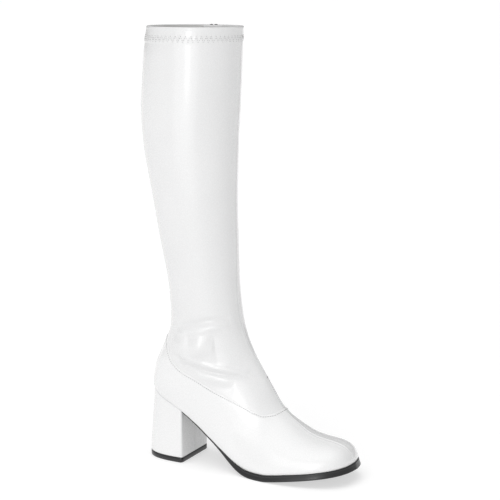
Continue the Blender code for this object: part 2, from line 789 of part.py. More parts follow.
def zip_strip(name, first, last, half_width, outer, inner):
    """A strip along the zip between two depths under the skin, lying on the upper's own facets.

    first and last are lengths: from the collar down, and from the slit's lower end down.
    """
    s, zip_end = grid_rows()
    c, zip_column = grid_columns(s)
    s, c = s[:, None], c[:, zip_column - 1 : zip_column + 3]
    base, normal = skin(s, c), skin_normals(s, c)
    steps = np.linalg.norm(np.diff(base[:, 1], axis=0), axis=1)
    top = first / steps[0]
    end = zip_end + last / steps[zip_end - (last < 0)]
    rows = np.concatenate([[top], np.arange(1, math.floor(end) + 1), [end]])
    low = np.floor(rows).astype(int)
    share = (rows - low)[:, None, None]
    base = base[low] * (1 - share) + base[low + 1] * share
    normal = normal[low] * (1 - share) + normal[low + 1] * share
    middle = (base[:, 1:2] + base[:, 2:3]) / 2
    middle_normal = (normal[:, 1:2] + normal[:, 2:3]) / 2
    half = np.linalg.norm(base[:, 1:2] - middle, axis=-1, keepdims=True)
    points, normals = [], []
    for edge, far in ((1, 0), (2, 3)):
        near, near_normal = base[:, edge : edge + 1], normal[:, edge : edge + 1]
        beyond, beyond_normal = base[:, far : far + 1], normal[:, far : far + 1]
        inside = np.minimum(half_width / half, 1.0)
        outside = np.maximum(half_width - half, 0.0) / np.linalg.norm(beyond - near, axis=-1, keepdims=True)
        points.append((middle + (near - middle) * inside, near + (beyond - near) * outside))
        normals.append((middle_normal + (near_normal - middle_normal) * inside,
                        near_normal + (beyond_normal - near_normal) * outside))
    order = ((0, 1), (0, 0), None, (1, 0), (1, 1)) if half_width > ZIP_GAP / 2 else ((0, 0), None, (1, 0))
    base = np.concatenate([middle if k is None else points[k[0]][k[1]] for k in order], axis=1)
    normal = np.concatenate([middle_normal if k is None else normals[k[0]][k[1]] for k in order], axis=1)
    loops = np.concatenate([base - normal * outer, (base - normal * inner)[:, ::-1]], axis=1)
    return mesh_from(name, loops.reshape(-1, 3), slab_faces(len(rows), loops.shape[1]))


def make_zip_tape(finish, target):
    """Woven tape behind the slit."""
    depth = WALL + GAP
    mesh = zip_strip("zip_tape", 0.0012, 0.006, TAPE_WIDTH / 2, depth, depth + TAPE_THICKNESS)
    return add_object("zip_tape", mesh, finish, target)


def make_zip_chain(finish, target):
    """Coil teeth on the tape, standing in the slit between the upper's edges."""
    top = ZIP_TOP_INSET + SLIDER_LENGTH + GAP
    mesh = zip_strip("zip_chain", top, -GAP, CHAIN_WIDTH / 2, WALL - CHAIN_THICKNESS, WALL)
    return add_object("zip_chain", mesh, finish, target)


def slider_frame():
    """Matrix at the slider's centre on the skin: X round the leg, Y down the zip, Z outwards."""
    middle = ZIP_TOP_INSET + SLIDER_LENGTH / 2
    s = np.array([below_collar(middle)])
    centre = skin(s, ZIP_LINE)[0]
    normal = skin_normals(s, np.array([ZIP_LINE]))[0]
    down = skin(s + 0.02, ZIP_LINE)[0] - centre
    down -= normal * down.dot(normal)
    down /= np.linalg.norm(down)
    side = np.cross(down, normal)
    frame = Matrix.Identity(4)
    for k, axis in enumerate((side, down, normal)):
        frame.col[k][:3] = tuple(axis)
    frame.translation = Vector((centre[0] + HEEL_BACK_X, centre[1], centre[2]))
    return frame


BRIDGE_HEIGHT = 0.0034
SLIDER_SEAT = HEM_STEP + GAP


def box_into(build, size, centre):
    made = bmesh.ops.create_cube(build, size=1.0)["verts"]
    bmesh.ops.scale(build, vec=size, verts=made)
    bmesh.ops.translate(build, vec=centre, verts=made)


def make_slider(finish, target):
    """Nickel slider body at the top of the zip, with the bridge that carries the pull."""
    depth = SLIDER_SEAT + SLIDER_PLATE / 2 + WALL
    build = bmesh.new()
    box_into(build, (ZIP_GAP - 2 * GAP, SLIDER_LENGTH * 0.9, depth), (0, 0, depth / 2 - WALL))
    mesh = bpy.data.meshes.new("zip_slider")
    build.to_mesh(mesh)
    build.free()
    body = add_object("zip_slider", mesh, finish, target)
    body.matrix_world = slider_frame()
    plate = helper_box(
        "slider plate", (SLIDER_WIDTH, SLIDER_LENGTH, SLIDER_PLATE), (0, 0, SLIDER_SEAT + SLIDER_PLATE / 2)
    )
    top = SLIDER_SEAT + SLIDER_PLATE
    length = SLIDER_LENGTH * 0.62
    sunk = SLIDER_PLATE / 2
    bridge = helper_box(
        "slider bridge",
        (2 * BRIDGE_RADIUS, length, BRIDGE_HEIGHT + sunk),
        (0, 0, top + (BRIDGE_HEIGHT - sunk) / 2),
    )
    window_height = BRIDGE_HEIGHT - 2 * BRIDGE_RADIUS
    window = helper_box(
        "bridge window",
        (4 * BRIDGE_RADIUS, length - 4 * BRIDGE_RADIUS, window_height),
        (0, 0, top + window_height / 2),
    )
    for tool, operation in ((plate, "UNION"), (bridge, "UNION"), (window, "DIFFERENCE")):
        cut = body.modifiers.new(tool.name, "BOOLEAN")
        cut.operation = operation
        cut.object = tool
    return body


def helper_box(name, size, centre):
    """A box in the slider's frame, kept out of the render, for the slider's Booleans."""
    build = bmesh.new()
    box_into(build, size, centre)
    mesh = bpy.data.meshes.new(name)
    build.to_mesh(mesh)
    build.free()
    made = bpy.data.objects.new(name, mesh)
    bpy.data.collections["cutters"].objects.link(made)
    made.matrix_world = slider_frame()
    made.hide_render = True
    made.display_type = "WIRE"
    return made


def pull_pivot():
    """Height of the pull's axis above the skin, in the slider's frame."""
    return SLIDER_SEAT + SLIDER_PLATE + (BRIDGE_HEIGHT - 2 * BRIDGE_RADIUS) / 2


def make_pull(finish, target):
    """Flat nickel pull with an eye that the bridge passes through, hanging down the zip."""
    frame = slider_frame()
    pivot = frame @ Vector((0, 0, pull_pivot()))
    hang = Vector((0, 0, -1))
    side = Vector(frame.col[0][:3])
    side.z = 0
    side.normalize()
    out = hang.cross(side)
    if out.dot(Vector(frame.col[2][:3])) < 0:
        out = -out
    place = Matrix.Identity(4)
    for k, axis in enumerate((side, hang, out)):
        place.col[k][:3] = tuple(axis)
    place.translation = pivot
    round_end = PULL_WIDTH / 2
    outline = [(round_end, -PULL_BAR / 2), (-round_end, -PULL_BAR / 2)]
    for k in range(13):
        turn = math.pi + math.pi * k / 12
        along = PULL_LENGTH - round_end - round_end * math.sin(turn)
        outline.append((round_end * math.cos(turn), along))
    mesh = plate_mesh("zip_pull", outline, PULL_THICKNESS)
    pull = add_object("zip_pull", mesh, finish, target)
    pull.matrix_world = place
    hole = []
    for across, along in ((1, 0), (-1, 0), (-1, 1), (1, 1)):
        hole.append((across * EYE_WIDTH / 2, PULL_BAR / 2 + along * EYE_LENGTH))
    cutter = bpy.data.objects.new("pull eye", plate_mesh("pull eye", hole, 3 * PULL_THICKNESS))
    bpy.data.collections["cutters"].objects.link(cutter)
    cutter.matrix_world = place
    cutter.hide_render = True
    cutter.display_type = "WIRE"
    cut = pull.modifiers.new("Eye", "BOOLEAN")
    cut.operation = "DIFFERENCE"
    cut.object = cutter
    return pull


def plate_mesh(name, outline, thickness):
    """A flat plate with the given outline, centred on its own plane."""
    build = bmesh.new()
    face = build.faces.new([build.verts.new((x, y, -thickness / 2)) for x, y in outline])
    raised = bmesh.ops.extrude_face_region(build, geom=[face])["geom"]
    top = [v for v in raised if isinstance(v, bmesh.types.BMVert)]
    bmesh.ops.translate(build, vec=(0, 0, thickness), verts=top)
    bmesh.ops.recalc_face_normals(build, faces=build.faces)
    mesh = bpy.data.meshes.new(name)
    build.to_mesh(mesh)
    build.free()
    return mesh


def main():
    for old in list(bpy.data.objects):
        bpy.data.objects.remove(old)
    boot = collection("go_go_boot")
    collection("cutters")
    white = material("white coated fabric", WHITE_PU, 0.28)
    black = material("black rubber", BLACK_RUBBER, 0.35)
    sock = material("sock lining", LINING_GREY, 0.8)
    tape = material("white zip tape", WHITE_PU, 0.7)
    nickel = material("nickel", NICKEL, 0.3, 1.0)
    sheet = upper_sheet()
    make_upper(sheet, white, boot)
    make_outsole(sheet, black, boot)
    make_insole(sheet, sock, boot)
    make_heel(sheet, white, boot)
    make_top_piece(black, boot)
    make_zip_tape(tape, boot)
    make_zip_chain(tape, boot)
    make_slider(nickel, boot)
    make_pull(nickel, boot)


main()
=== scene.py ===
"""Go-go boot for the right foot: the finished look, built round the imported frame.

Metres, +Z up, +X towards the toe, +Y towards the inner side of the foot. The origin is the centre of the
heel's top piece on the floor. The last's own form is measured from the heel back.
"""

import math

import bmesh
import bpy
import numpy as np
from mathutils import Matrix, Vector, noise


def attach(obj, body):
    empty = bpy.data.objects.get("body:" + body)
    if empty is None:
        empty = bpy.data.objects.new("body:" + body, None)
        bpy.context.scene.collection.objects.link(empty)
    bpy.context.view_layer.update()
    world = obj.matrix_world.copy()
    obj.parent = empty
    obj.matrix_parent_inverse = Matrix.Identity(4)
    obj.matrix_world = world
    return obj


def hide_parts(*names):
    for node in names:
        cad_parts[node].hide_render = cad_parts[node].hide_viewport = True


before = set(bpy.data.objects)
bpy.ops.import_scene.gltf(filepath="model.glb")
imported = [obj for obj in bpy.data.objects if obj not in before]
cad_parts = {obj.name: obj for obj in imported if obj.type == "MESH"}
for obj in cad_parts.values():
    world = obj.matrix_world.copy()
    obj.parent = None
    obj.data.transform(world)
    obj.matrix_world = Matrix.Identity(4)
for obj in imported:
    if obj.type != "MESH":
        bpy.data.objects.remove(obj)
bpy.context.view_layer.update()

# The shaft. One piece of white coated stretch fabric from the collar to the ankle, closed by a seam down
# the front and one down the back, with a slit for the zip on the inner side. It takes the form of the last
# and the leg, and slouches a little over the ankle, where it keeps its main creases. Its white is coloured
# a little darker than the foot panel's, as painted shade on the shaft.
FOOT_LENGTH = 0.233
BALL_WIDTH = 0.085
HEEL_HEIGHT = 0.0775
ANKLE_HEIGHT = 0.083
LEG_HEIGHT = 0.3015
CALF_DEPTH = 0.105
CALF_WIDTH = 0.0935
LEG_AXIS = 0.051
TOE_SPRING = 0.0141
TOE_RISE_FROM = 0.630
TOE_RISE_EASE = 0.05
SOLE_THICKNESS = 0.0068
BREAST_AT = 0.0460
TOP_PIECE_BACK = -0.0034
HEEL_BACK_X = -(BREAST_AT + TOP_PIECE_BACK) / 2
WALL = 0.0016
GAP = 0.0003
COLLAR = HEEL_HEIGHT + ANKLE_HEIGHT + LEG_HEIGHT
HEM_STEP = 0.0005
HEM_HEIGHT = 0.0155
HEM_ROLL = 0.0004
RIM_DROP = 0.0009
PUCKER = 0.00022
PUCKER_PITCH = 0.0050
SLACK = 0.00045
SLACK_SCALE = 26.0
ZIP_LINE = 0.75
ZIP_GAP = 0.0062

LEG_SECTIONS = (
    # up, back, front, lateral, medial, belly, back_round, front_round
    (1.000, -0.494, 0.462, 0.960, 0.960, 0.48, 2.05, 2.05),
    (0.900, -0.541, 0.452, 0.990, 0.990, 0.48, 2.05, 2.05),
    (0.760, -0.570, 0.437, 1.000, 1.000, 0.47, 2.05, 2.05),
    (0.620, -0.556, 0.418, 0.985, 0.975, 0.46, 2.05, 2.05),
    (0.470, -0.486, 0.405, 0.920, 0.910, 0.46, 2.05, 2.05),
    (0.320, -0.410, 0.412, 0.840, 0.830, 0.46, 2.05, 2.05),
    (0.180, -0.330, 0.427, 0.765, 0.755, 0.46, 2.05, 2.05),
    (0.075, -0.284, 0.452, 0.712, 0.702, 0.46, 2.05, 2.05),
)
FOOT_SECTIONS = (
    # back_x, back_lift, back_up, front_x, front_lift, front_up, lateral, medial,
    # belly, back_round, front_round
    (0.093, 1.00, 0.960, 0.437, 1.00, 1.020, 0.740, 0.730, 0.46, 2.05, 2.00),
    (0.082, 1.00, 0.760, 0.453, 1.00, 0.850, 0.735, 0.725, 0.46, 2.05, 1.95),
    (0.048, 1.00, 0.530, 0.475, 1.00, 0.700, 0.740, 0.730, 0.45, 2.05, 1.90),
    (0.015, 1.00, 0.330, 0.496, 0.96, 0.618, 0.755, 0.745, 0.44, 2.10, 1.88),
    (0.001, 1.00, 0.150, 0.515, 0.90, 0.574, 0.768, 0.758, 0.44, 2.15, 1.85),
    (0.000, 1.00, 0.000, 0.534, 0.84, 0.546, 0.775, 0.765, 0.43, 2.20, 1.83),
    (0.018, 0.97, -0.120, 0.554, 0.76, 0.528, 0.775, 0.765, 0.43, 2.25, 1.82),
    (0.080, 0.86, -0.170, 0.576, 0.68, 0.506, 0.770, 0.760, 0.42, 2.30, 1.82),
    (0.180, 0.63, -0.150, 0.603, 0.58, 0.480, 0.765, 0.765, 0.41, 2.30, 1.82),
    (0.295, 0.35, -0.115, 0.632, 0.45, 0.472, 0.785, 0.790, 0.38, 2.20, 1.82),
    (0.405, 0.13, -0.090, 0.661, 0.33, 0.474, 0.860, 0.850, 0.34, 2.10, 1.82),
    (0.510, 0.03, -0.085, 0.692, 0.22, 0.484, 0.950, 0.925, 0.30, 2.05, 1.84),
    (0.605, 0.00, -0.080, 0.729, 0.13, 0.483, 0.995, 0.975, 0.28, 2.05, 1.88),
    (0.700, 0.00, -0.078, 0.776, 0.07, 0.440, 0.990, 0.980, 0.28, 2.05, 1.95),
    (0.790, 0.00, -0.074, 0.830, 0.03, 0.402, 0.950, 0.945, 0.29, 2.05, 2.05),
    (0.866, 0.00, -0.066, 0.884, 0.00, 0.382, 0.870, 0.870, 0.31, 2.10, 2.15),
    (0.927, 0.00, -0.054, 0.934, 0.00, 0.330, 0.735, 0.740, 0.34, 2.15, 2.20),
    (0.970, 0.00, -0.040, 0.972, 0.00, 0.252, 0.530, 0.535, 0.38, 2.20, 2.20),
    (0.993, 0.00, -0.022, 0.993, 0.00, 0.152, 0.275, 0.280, 0.42, 2.10, 2.10),
    (1.000, 0.00, -0.002, 1.000, 0.00, 0.090, 0.008, 0.008, 0.46, 2.00, 2.00),
)
SOLE_LINE = (
    # x share of FOOT_LENGTH, share of HEEL_HEIGHT above the sole
    (-0.1, 1.11), (0.0, 1.0), (0.09, 0.872), (0.18, 0.752), (0.26, 0.585), (0.34, 0.388),
    (0.42, 0.205), (0.49, 0.066), (0.53, 0.018), (0.58, 0.0), (1.1, 0.0),
)
PANEL_SEAM = (
    # x share of FOOT_LENGTH, share of ANKLE_HEIGHT, share of HEEL_HEIGHT
    (0.04, 0.86, 1.0), (0.078, 0.72, 1.0), (0.11, 0.59, 1.0), (0.142, 0.46, 0.99),
    (0.18, 0.372, 0.98), (0.27, 0.342, 0.88), (0.355, 0.345, 0.75), (0.43, 0.365, 0.632),
    (0.505, 0.395, 0.505), (0.56, 0.41, 0.415), (0.602, 0.418, 0.375), (0.63, 0.428, 0.375),
    (0.66, 0.456, 0.39), (0.7, 0.49, 0.41),
)
FRONT_SEAM = (
    # section, y of the seam
    (0.0, 0.007), (3.0, 0.007), (4.5, 0.0045), (6.0, 0.001), (7.0, -0.002), (9.0, -0.003),
    (11.0, -0.0025), (13.0, 0.0005), (14.5, 0.0032), (16.0, 0.0025), (17.5, -0.0005),
    (20.0, -0.0015), (23.0, -0.003), (26.0, -0.002), (27.0, 0.0),
)
OUTER, INNER = -1, 1
CREASES = (
    # side, width, height and line of x from the heel back and z, in millimetres
    (OUTER, 13.0, 4.4, ((34, 127), (51, 128), (66, 129), (84, 131))),
    (OUTER, 3.6, -1.6, ((44, 149.5), (58, 154.5), (70, 157.2), (84, 159.6), (97, 160.2))),
    (OUTER, 4.0, 1.5, ((42, 143), (58, 146.8), (71, 149.4), (83, 152.2), (96, 153.6))),
    (OUTER, 5.5, 1.3, ((49, 147.5), (49, 136.2), (50, 125.7), (51, 116))),
    (OUTER, 6.2, 1.1, ((70, 149), (68, 138.4), (67, 127.5), (66, 120))),
    (OUTER, 4.6, -0.8, ((59, 145), (58, 134), (59, 123))),
    (OUTER, 5.0, -0.7, ((83, 145), (81, 133), (81, 120))),
    (OUTER, 3.4, 1.5, ((48, 120.5), (62, 115.5), (73, 111.8), (85, 109.2), (100, 107.7), (118, 105.5))),
    (OUTER, 3.0, -1.7, ((36, 122), (46, 115.4), (56, 111.4), (66, 108.6), (79, 106.3), (90, 104),
        (103, 102.1), (114, 101), (123, 99.2), (132, 95.8))),
    (OUTER, 2.2, -0.6, ((97, 111.8), (112, 108.6), (124, 104.2))),
    (OUTER, 5.0, 0.9, ((62, 100.5), (74, 98.5), (87, 97), (104, 95.2))),
    (OUTER, 5.0, -0.6, ((78, 92.5), (92, 90), (106, 88))),
    (INNER, 12.0, 2.8, ((36, 128), (54, 129), (74, 130), (92, 131.5))),
    (INNER, 4.5, -1.2, ((44, 152), (58, 155.2), (74, 157.2), (96, 158.2))),
    (INNER, 4.8, 1.1, ((42, 145), (58, 147.8), (72, 149.2), (94, 150.8))),
    (INNER, 4.5, 0.8, ((46, 142), (47, 130), (50, 119))),
    (INNER, 5.0, -0.7, ((60, 144), (61, 133), (63, 122))),
    (INNER, 3.4, 1.2, ((46, 118), (62, 114.3), (80, 111.2), (98, 109.2), (114, 107.8))),
    (INNER, 3.0, -1.5, ((38, 119.5), (54, 112.2), (72, 108), (92, 105), (110, 102.6), (128, 98.5))),
    (INNER, 5.0, 0.8, ((66, 99.2), (84, 97.7), (104, 95.5))),
)
ROW_PITCH = 0.0013
SIDE_COLUMNS = 112
SEAM_COLUMNS = (0.0, 0.0004, 0.0009, 0.0015, 0.0022, 0.0032)
SLIT_COLUMNS = (0.0031, 0.0034, 0.0040, 0.0050)
LEAST_GIRTH = 0.160
LAP_UNDER = 0.0030


def soft_step(share):
    """Eases from 0 to 1."""
    share = np.clip(share, 0.0, 1.0)
    return share * share * (3 - 2 * share)


def spline_bends(values):
    """Second derivatives of the natural cubic spline through evenly spaced rows of values."""
    count = len(values)
    system = np.eye(count)
    right = np.zeros_like(values)
    for i in range(1, count - 1):
        system[i, i - 1 : i + 2] = (1.0, 4.0, 1.0)
        right[i] = 6.0 * (values[i - 1] - 2.0 * values[i] + values[i + 1])
    return np.linalg.solve(system, right)


def spline_at(values, bends, s):
    """The spline's rows at the positions s, which count rows from 0."""
    s = np.asarray(s, float)
    low = np.clip(np.floor(s).astype(int), 0, len(values) - 2)
    u = (s - low)[..., None]
    v = 1.0 - u
    curve = (v**3 - v) * bends[low] + (u**3 - u) * bends[low + 1]
    return v * values[low] + u * values[low + 1] + curve / 6.0


def smooth_line(x, rows, column=1):
    """A curve with no overshoot through a table's first column and another one."""
    xs, ys = np.array(rows).T[[0, column]]
    slopes = np.gradient(ys, xs)
    steps = np.diff(ys) / np.diff(xs)
    slopes[1:-1] = np.where(steps[1:] * steps[:-1] > 0, slopes[1:-1], 0.0)
    slopes[0], slopes[-1] = steps[0], steps[-1]
    x = np.clip(x, xs[0], xs[-1])
    i = np.clip(np.searchsorted(xs, x, side="right") - 1, 0, len(xs) - 2)
    span = xs[i + 1] - xs[i]
    u = (x - xs[i]) / span
    ends = span * (slopes[i] * u * (1 - u) ** 2 - slopes[i + 1] * u * u * (1 - u))
    return ys[i] + (ys[i + 1] - ys[i]) * soft_step(u) + ends


def toe_rise(share):
    """The toe spring, which eases in at the front of the flat tread."""
    beyond = np.clip((share - TOE_RISE_FROM) / (1.0 - TOE_RISE_FROM), 0.0, None)
    eased = np.hypot(beyond, TOE_RISE_EASE) - TOE_RISE_EASE
    return TOE_SPRING * eased / (math.hypot(1.0, TOE_RISE_EASE) - TOE_RISE_EASE)


def edge_height(x):
    """Height of the upper's lower edge at x metres from the heel back."""
    share = np.asarray(x) / FOOT_LENGTH
    lift = smooth_line(share, SOLE_LINE)
    return lift * (HEEL_HEIGHT - SOLE_THICKNESS) + SOLE_THICKNESS + toe_rise(share)


def lap_height(x):
    """Height of the lapped seam at x metres from the heel back."""
    share = np.asarray(x) / FOOT_LENGTH
    up = smooth_line(share, PANEL_SEAM)
    lift = smooth_line(share, PANEL_SEAM, 2)
    return up * ANKLE_HEIGHT + lift * HEEL_HEIGHT


def last_sections():
    """Every section in metres: back x and z, front x and z, lateral, medial, belly, two roundnesses."""
    rows = []
    for up, back, front, lateral, medial, *form in LEG_SECTIONS:
        height = HEEL_HEIGHT + ANKLE_HEIGHT + up * LEG_HEIGHT
        ends = (LEG_AXIS + back * CALF_DEPTH, height, LEG_AXIS + front * CALF_DEPTH, height)
        rows.append((*ends, lateral * CALF_WIDTH / 2, medial * CALF_WIDTH / 2, *form))
    for back_x, back_lift, back_up, front_x, front_lift, front_up, lateral, medial, *form in FOOT_SECTIONS:
        back_z = back_lift * HEEL_HEIGHT + back_up * ANKLE_HEIGHT + toe_rise(back_x)
        front_z = front_lift * HEEL_HEIGHT + front_up * ANKLE_HEIGHT + toe_rise(front_x)
        ends = (back_x * FOOT_LENGTH, back_z, front_x * FOOT_LENGTH, front_z)
        rows.append((*ends, lateral * BALL_WIDTH / 2, medial * BALL_WIDTH / 2, *form))
    return np.array(rows)


SECTIONS = last_sections()
BENDS = spline_bends(SECTIONS)
LAST_SECTION = len(SECTIONS) - 1.0
ANKLE_SECTION = len(LEG_SECTIONS) - 1.0
TOE_TIP_SECTION = LAST_SECTION - 0.10


def around(section, angle):
    """Shares along a section and of its half-width, at an angle from its back (0) to its front (pi)."""
    belly, back_round, front_round = section[..., 6], section[..., 7], section[..., 8]
    cosine = np.cos(angle)
    front = cosine < 0
    roundness = np.where(front, front_round, back_round)
    reach = np.abs(cosine) ** (2.0 / roundness)
    width = np.abs(np.sin(angle)) ** (2.0 / roundness)
    return np.where(front, belly + (1.0 - belly) * reach, belly * (1.0 - reach)), width


def skin(s, c):
    """Points of the boot's form. s counts sections from the collar to the toe. c goes round from the back
    or bottom centre (0), by the lateral side, over the front (0.5) and back by the medial side (1)."""
    s, c = np.broadcast_arrays(np.asarray(s, float), np.asarray(c, float))
    section = spline_at(SECTIONS, BENDS, s)
    lateral = c <= 0.5
    along, width = around(section, math.pi * np.where(lateral, 2.0 * c, 2.0 * (1.0 - c)))
    x = section[..., 0] + along * (section[..., 2] - section[..., 0])
    z = section[..., 1] + along * (section[..., 3] - section[..., 1])
    y = np.where(lateral, -section[..., 4], section[..., 5]) * width
    return np.stack([x, y, z], -1)


def unit(vectors):
    return vectors / np.maximum(np.linalg.norm(vectors, axis=-1, keepdims=True), 1e-12)


def skin_normals(s, c):
    """Outward unit normals of the boot's form."""
    step_s, step_c = 0.02, 0.004
    down = skin(np.minimum(s + step_s, LAST_SECTION), c) - skin(np.maximum(s - step_s, 0), c)
    across = skin(s, (c + step_c) % 1.0) - skin(s, (c - step_c) % 1.0)
    return unit(np.cross(down, across))


def girth(s):
    """Length round a section, as of an ellipse."""
    section = spline_at(SECTIONS, BENDS, s)
    a = np.hypot(section[..., 2] - section[..., 0], section[..., 3] - section[..., 1]) / 2
    b = (section[..., 4] + section[..., 5]) / 2
    return np.maximum(math.pi * (3 * (a + b) - np.sqrt((3 * a + b) * (a + 3 * b))), LEAST_GIRTH)


def first_root(test, low, high):
    """Where test turns from true to false between low and high."""
    for _ in range(40):
        middle = (low + high) / 2
        true = test(middle)
        low = np.where(true, middle, low)
        high = np.where(true, high, middle)
    return (low + high) / 2


def above_edge(s, c):
    point = skin(s, c)
    return point[..., 2] - edge_height(point[..., 0])


def above_lap(s, c):
    """Distance above the lapped seam, square to it."""
    point = skin(s, c)
    x = point[..., 0]
    slope = (lap_height(x + 0.001) - lap_height(x - 0.001)) / 0.002
    return (point[..., 2] - lap_height(x)) / np.hypot(1.0, slope)


def lap_section(c, under=0.0):
    """The section at which a line down the boot crosses the lapped seam, or a line under it."""
    return first_root(lambda s: above_lap(s, c) > -under, ANKLE_SECTION, LAST_SECTION)


def front_seam(s):
    """Where round the boot its front seam lies."""
    return 0.5 + smooth_line(s, FRONT_SEAM) / girth(s)


SLIT_END = float(lap_section(ZIP_LINE)) - 0.75


def travelled(*lines):
    """Length along a line at each of its points, or the mean of several lines."""
    steps = np.linalg.norm(np.diff(lines, axis=1), axis=2).mean(0)
    return np.concatenate([[0.0], np.cumsum(steps)])


def ring_faces(rings, count, open_column=None, open_rings=0):
    """Four-cornered faces between rings of points, with one column left open in the first rings."""
    faces = []
    for i in range(rings - 1):
        for j in range(count):
            if j != open_column or i >= open_rings:
                a, b = i * count + j, i * count + (j + 1) % count
                faces.append((a, b, b + count, a + count))
    return faces


def sheet_grid():
    """Sections of the sheet's rows, and shares round the boot for every row and column."""
    fine = np.linspace(0.0, TOE_TIP_SECTION, 2400)
    length = travelled(*(skin(fine, c) for c in (0.0, 0.25, 0.5)))
    rows = np.interp(np.linspace(0, length[-1], int(length[-1] / ROW_PITCH)), length, fine)
    rows[np.argmin(np.abs(rows - SLIT_END))] = SLIT_END
    even = np.arange(2 * SIDE_COLUMNS) / (2 * SIDE_COLUMNS)
    clear = SEAM_COLUMNS[-1] / LEAST_GIRTH + 0.002
    slit_clear = SLIT_COLUMNS[-1] / 0.19 + 0.002
    for line, room in ((0.0, clear), (1.0, clear), (0.5, clear), (ZIP_LINE, slit_clear)):
        even = even[np.abs(even - line) > room]
    columns = [(share, 0.0) for share in even]
    for line, offsets in ((0.0, SEAM_COLUMNS), (0.5, SEAM_COLUMNS), (ZIP_LINE, SLIT_COLUMNS)):
        for offset in offsets:
            columns += [(line, sign * offset) for sign in ((1,) if offset == 0 else (-1, 1))]
    columns.sort(key=lambda at: at[0] + at[1] / 0.3 + (at[1] < 0 and at[0] == 0))
    share, offset = np.array(columns).T
    placed = share + offset / girth(rows)[:, None]
    leans = np.clip(1.0 - np.abs(share - 0.5) / 0.16, 0.0, 1.0)
    return rows, (placed + soft_step(leans) * (front_seam(rows)[:, None] - 0.5)) % 1.0


def cut(points, faces, field):
    """Splits a sheet's faces where field(s, c) is 0. Gives all points, the faces above and those below."""
    value = field(points[:, 0], points[:, 1])
    sign = value.tolist()
    mixed = [f for f in faces if min(sign[v] for v in f) < 0 < max(sign[v] for v in f)]
    edges = np.array(sorted({tuple(sorted(e)) for face in mixed for e in zip(face, face[1:] + face[:1])}))
    edges = edges[value[edges[:, 0]] * value[edges[:, 1]] < 0]
    start, end = points[edges[:, 0]], points[edges[:, 1]]
    rising = value[edges[:, 0]] < 0

    def between(share):
        c_end = end[:, 1] - np.round(end[:, 1] - start[:, 1])
        s = start[:, 0] + (end[:, 0] - start[:, 0]) * share
        return s, (start[:, 1] + (c_end - start[:, 1]) * share) % 1.0

    share = first_root(lambda t: (field(*between(t)) < 0) == rising, 0.0, 1.0)
    added = {tuple(edge): len(points) + k for k, edge in enumerate(edges.tolist())}
    points = np.concatenate([points, np.column_stack(between(share))])
    above, below = [], []
    for face in faces:
        high = max(sign[v] for v in face)
        low = min(sign[v] for v in face)
        if low >= 0:
            above.append(face)
        elif high <= 0:
            below.append(face)
        else:
            upper, lower = [], []
            for a, b in zip(face, face[1:] + face[:1]):
                if sign[a] >= 0:
                    upper.append(a)
                if sign[a] <= 0:
                    lower.append(a)
                middle = added.get((min(a, b), max(a, b)))
                if middle is not None:
                    upper.append(middle)
                    lower.append(middle)
            above.append(tuple(upper))
            below.append(tuple(lower))
    return points, above, below


def upper_sheet():
    """The whole upper as one sheet of (s, c) points, cut along its lower edge and along the lapped seam."""
    rows, columns = sheet_grid()
    count = columns.shape[1]
    points = np.column_stack([np.repeat(rows, count), columns.reshape(-1)])
    zip_column = int(np.argmin(np.abs(columns[0] - (ZIP_LINE - ZIP_GAP / 2 / girth(0.0)))))
    slit_rows = int(np.searchsorted(rows, SLIT_END - 1e-6))
    faces = [(a, d, c, b) for a, b, c, d in ring_faces(len(rows), count, zip_column, slit_rows)]
    last = (len(rows) - 1) * count
    faces.append(tuple(range(last + count - 1, last - 1, -1)))
    points, faces, _ = cut(points, faces, above_edge)
    for line in (0.0008, 0.0022):
        points, high, low = cut(points, faces, lambda s, c, line=line: above_edge(s, c) - line)
        faces = high + low
    shaft, under = [], faces
    for line in (0.0, -0.0003, -0.0008, -0.0014, -0.0019, -0.0024, -LAP_UNDER):
        points, high, under = cut(points, under, lambda s, c, line=line: above_lap(s, c) - line)
        shaft.append(high)
    overlap = [face for band in shaft[1:] for face in band]
    return points, shaft[0] + overlap, overlap + under


def bell(x, width, centre=0.0):
    """A soft bump, 1 high."""
    return np.exp(-(((x - centre) / width) ** 2))


def crease_relief(place):
    """Height of the creases over the form, at places on it."""
    total = np.zeros(len(place))
    for side, width, height, line in CREASES:
        width, height, line = width / 1000, height / 1000, np.array(line) / 1000
        line = spline_at(line, spline_bends(line), np.linspace(0, len(line) - 1, 8 * len(line)))
        on_side = soft_step(place[:, 1] * side / 0.012)
        low, high = line.min(0) - 3 * width, line.max(0) + 3 * width
        flat = place[:, [0, 2]]
        near = np.flatnonzero((on_side > 0) & (flat > low).all(1) & (flat < high).all(1))
        best = np.full(len(near), 1e9)
        along = np.zeros(len(near))
        for k, (start, end) in enumerate(zip(line, line[1:])):
            step = end - start
            t = np.clip((flat[near] - start) @ step / (step @ step), 0, 1)
            away = np.linalg.norm(flat[near] - start - t[:, None] * step, axis=1)
            along = np.where(away < best, (k + t) / (len(line) - 1), along)
            best = np.minimum(best, away)
        fade = np.maximum(4 * along * (1 - along), 0) ** 0.45
        total[near] += height * bell(best, width) * fade * on_side[near]
    return total


def seam_relief(away, depth, shoulder):
    """A closed seam: a fine groove between two soft shoulders, where the turned edges lie inside."""
    groove = -depth * bell(away, 0.00045)
    return groove + shoulder * bell(np.abs(away), 0.0011, 0.0015)


def slack(place, scale, height):
    """The gentle unevenness of stretched fabric."""
    return np.array([noise.noise(Vector(p) * scale) for p in place]) * height


def from_line(c, line):
    """Share round the boot from a line, the short way."""
    return c - line - np.round(c - line)


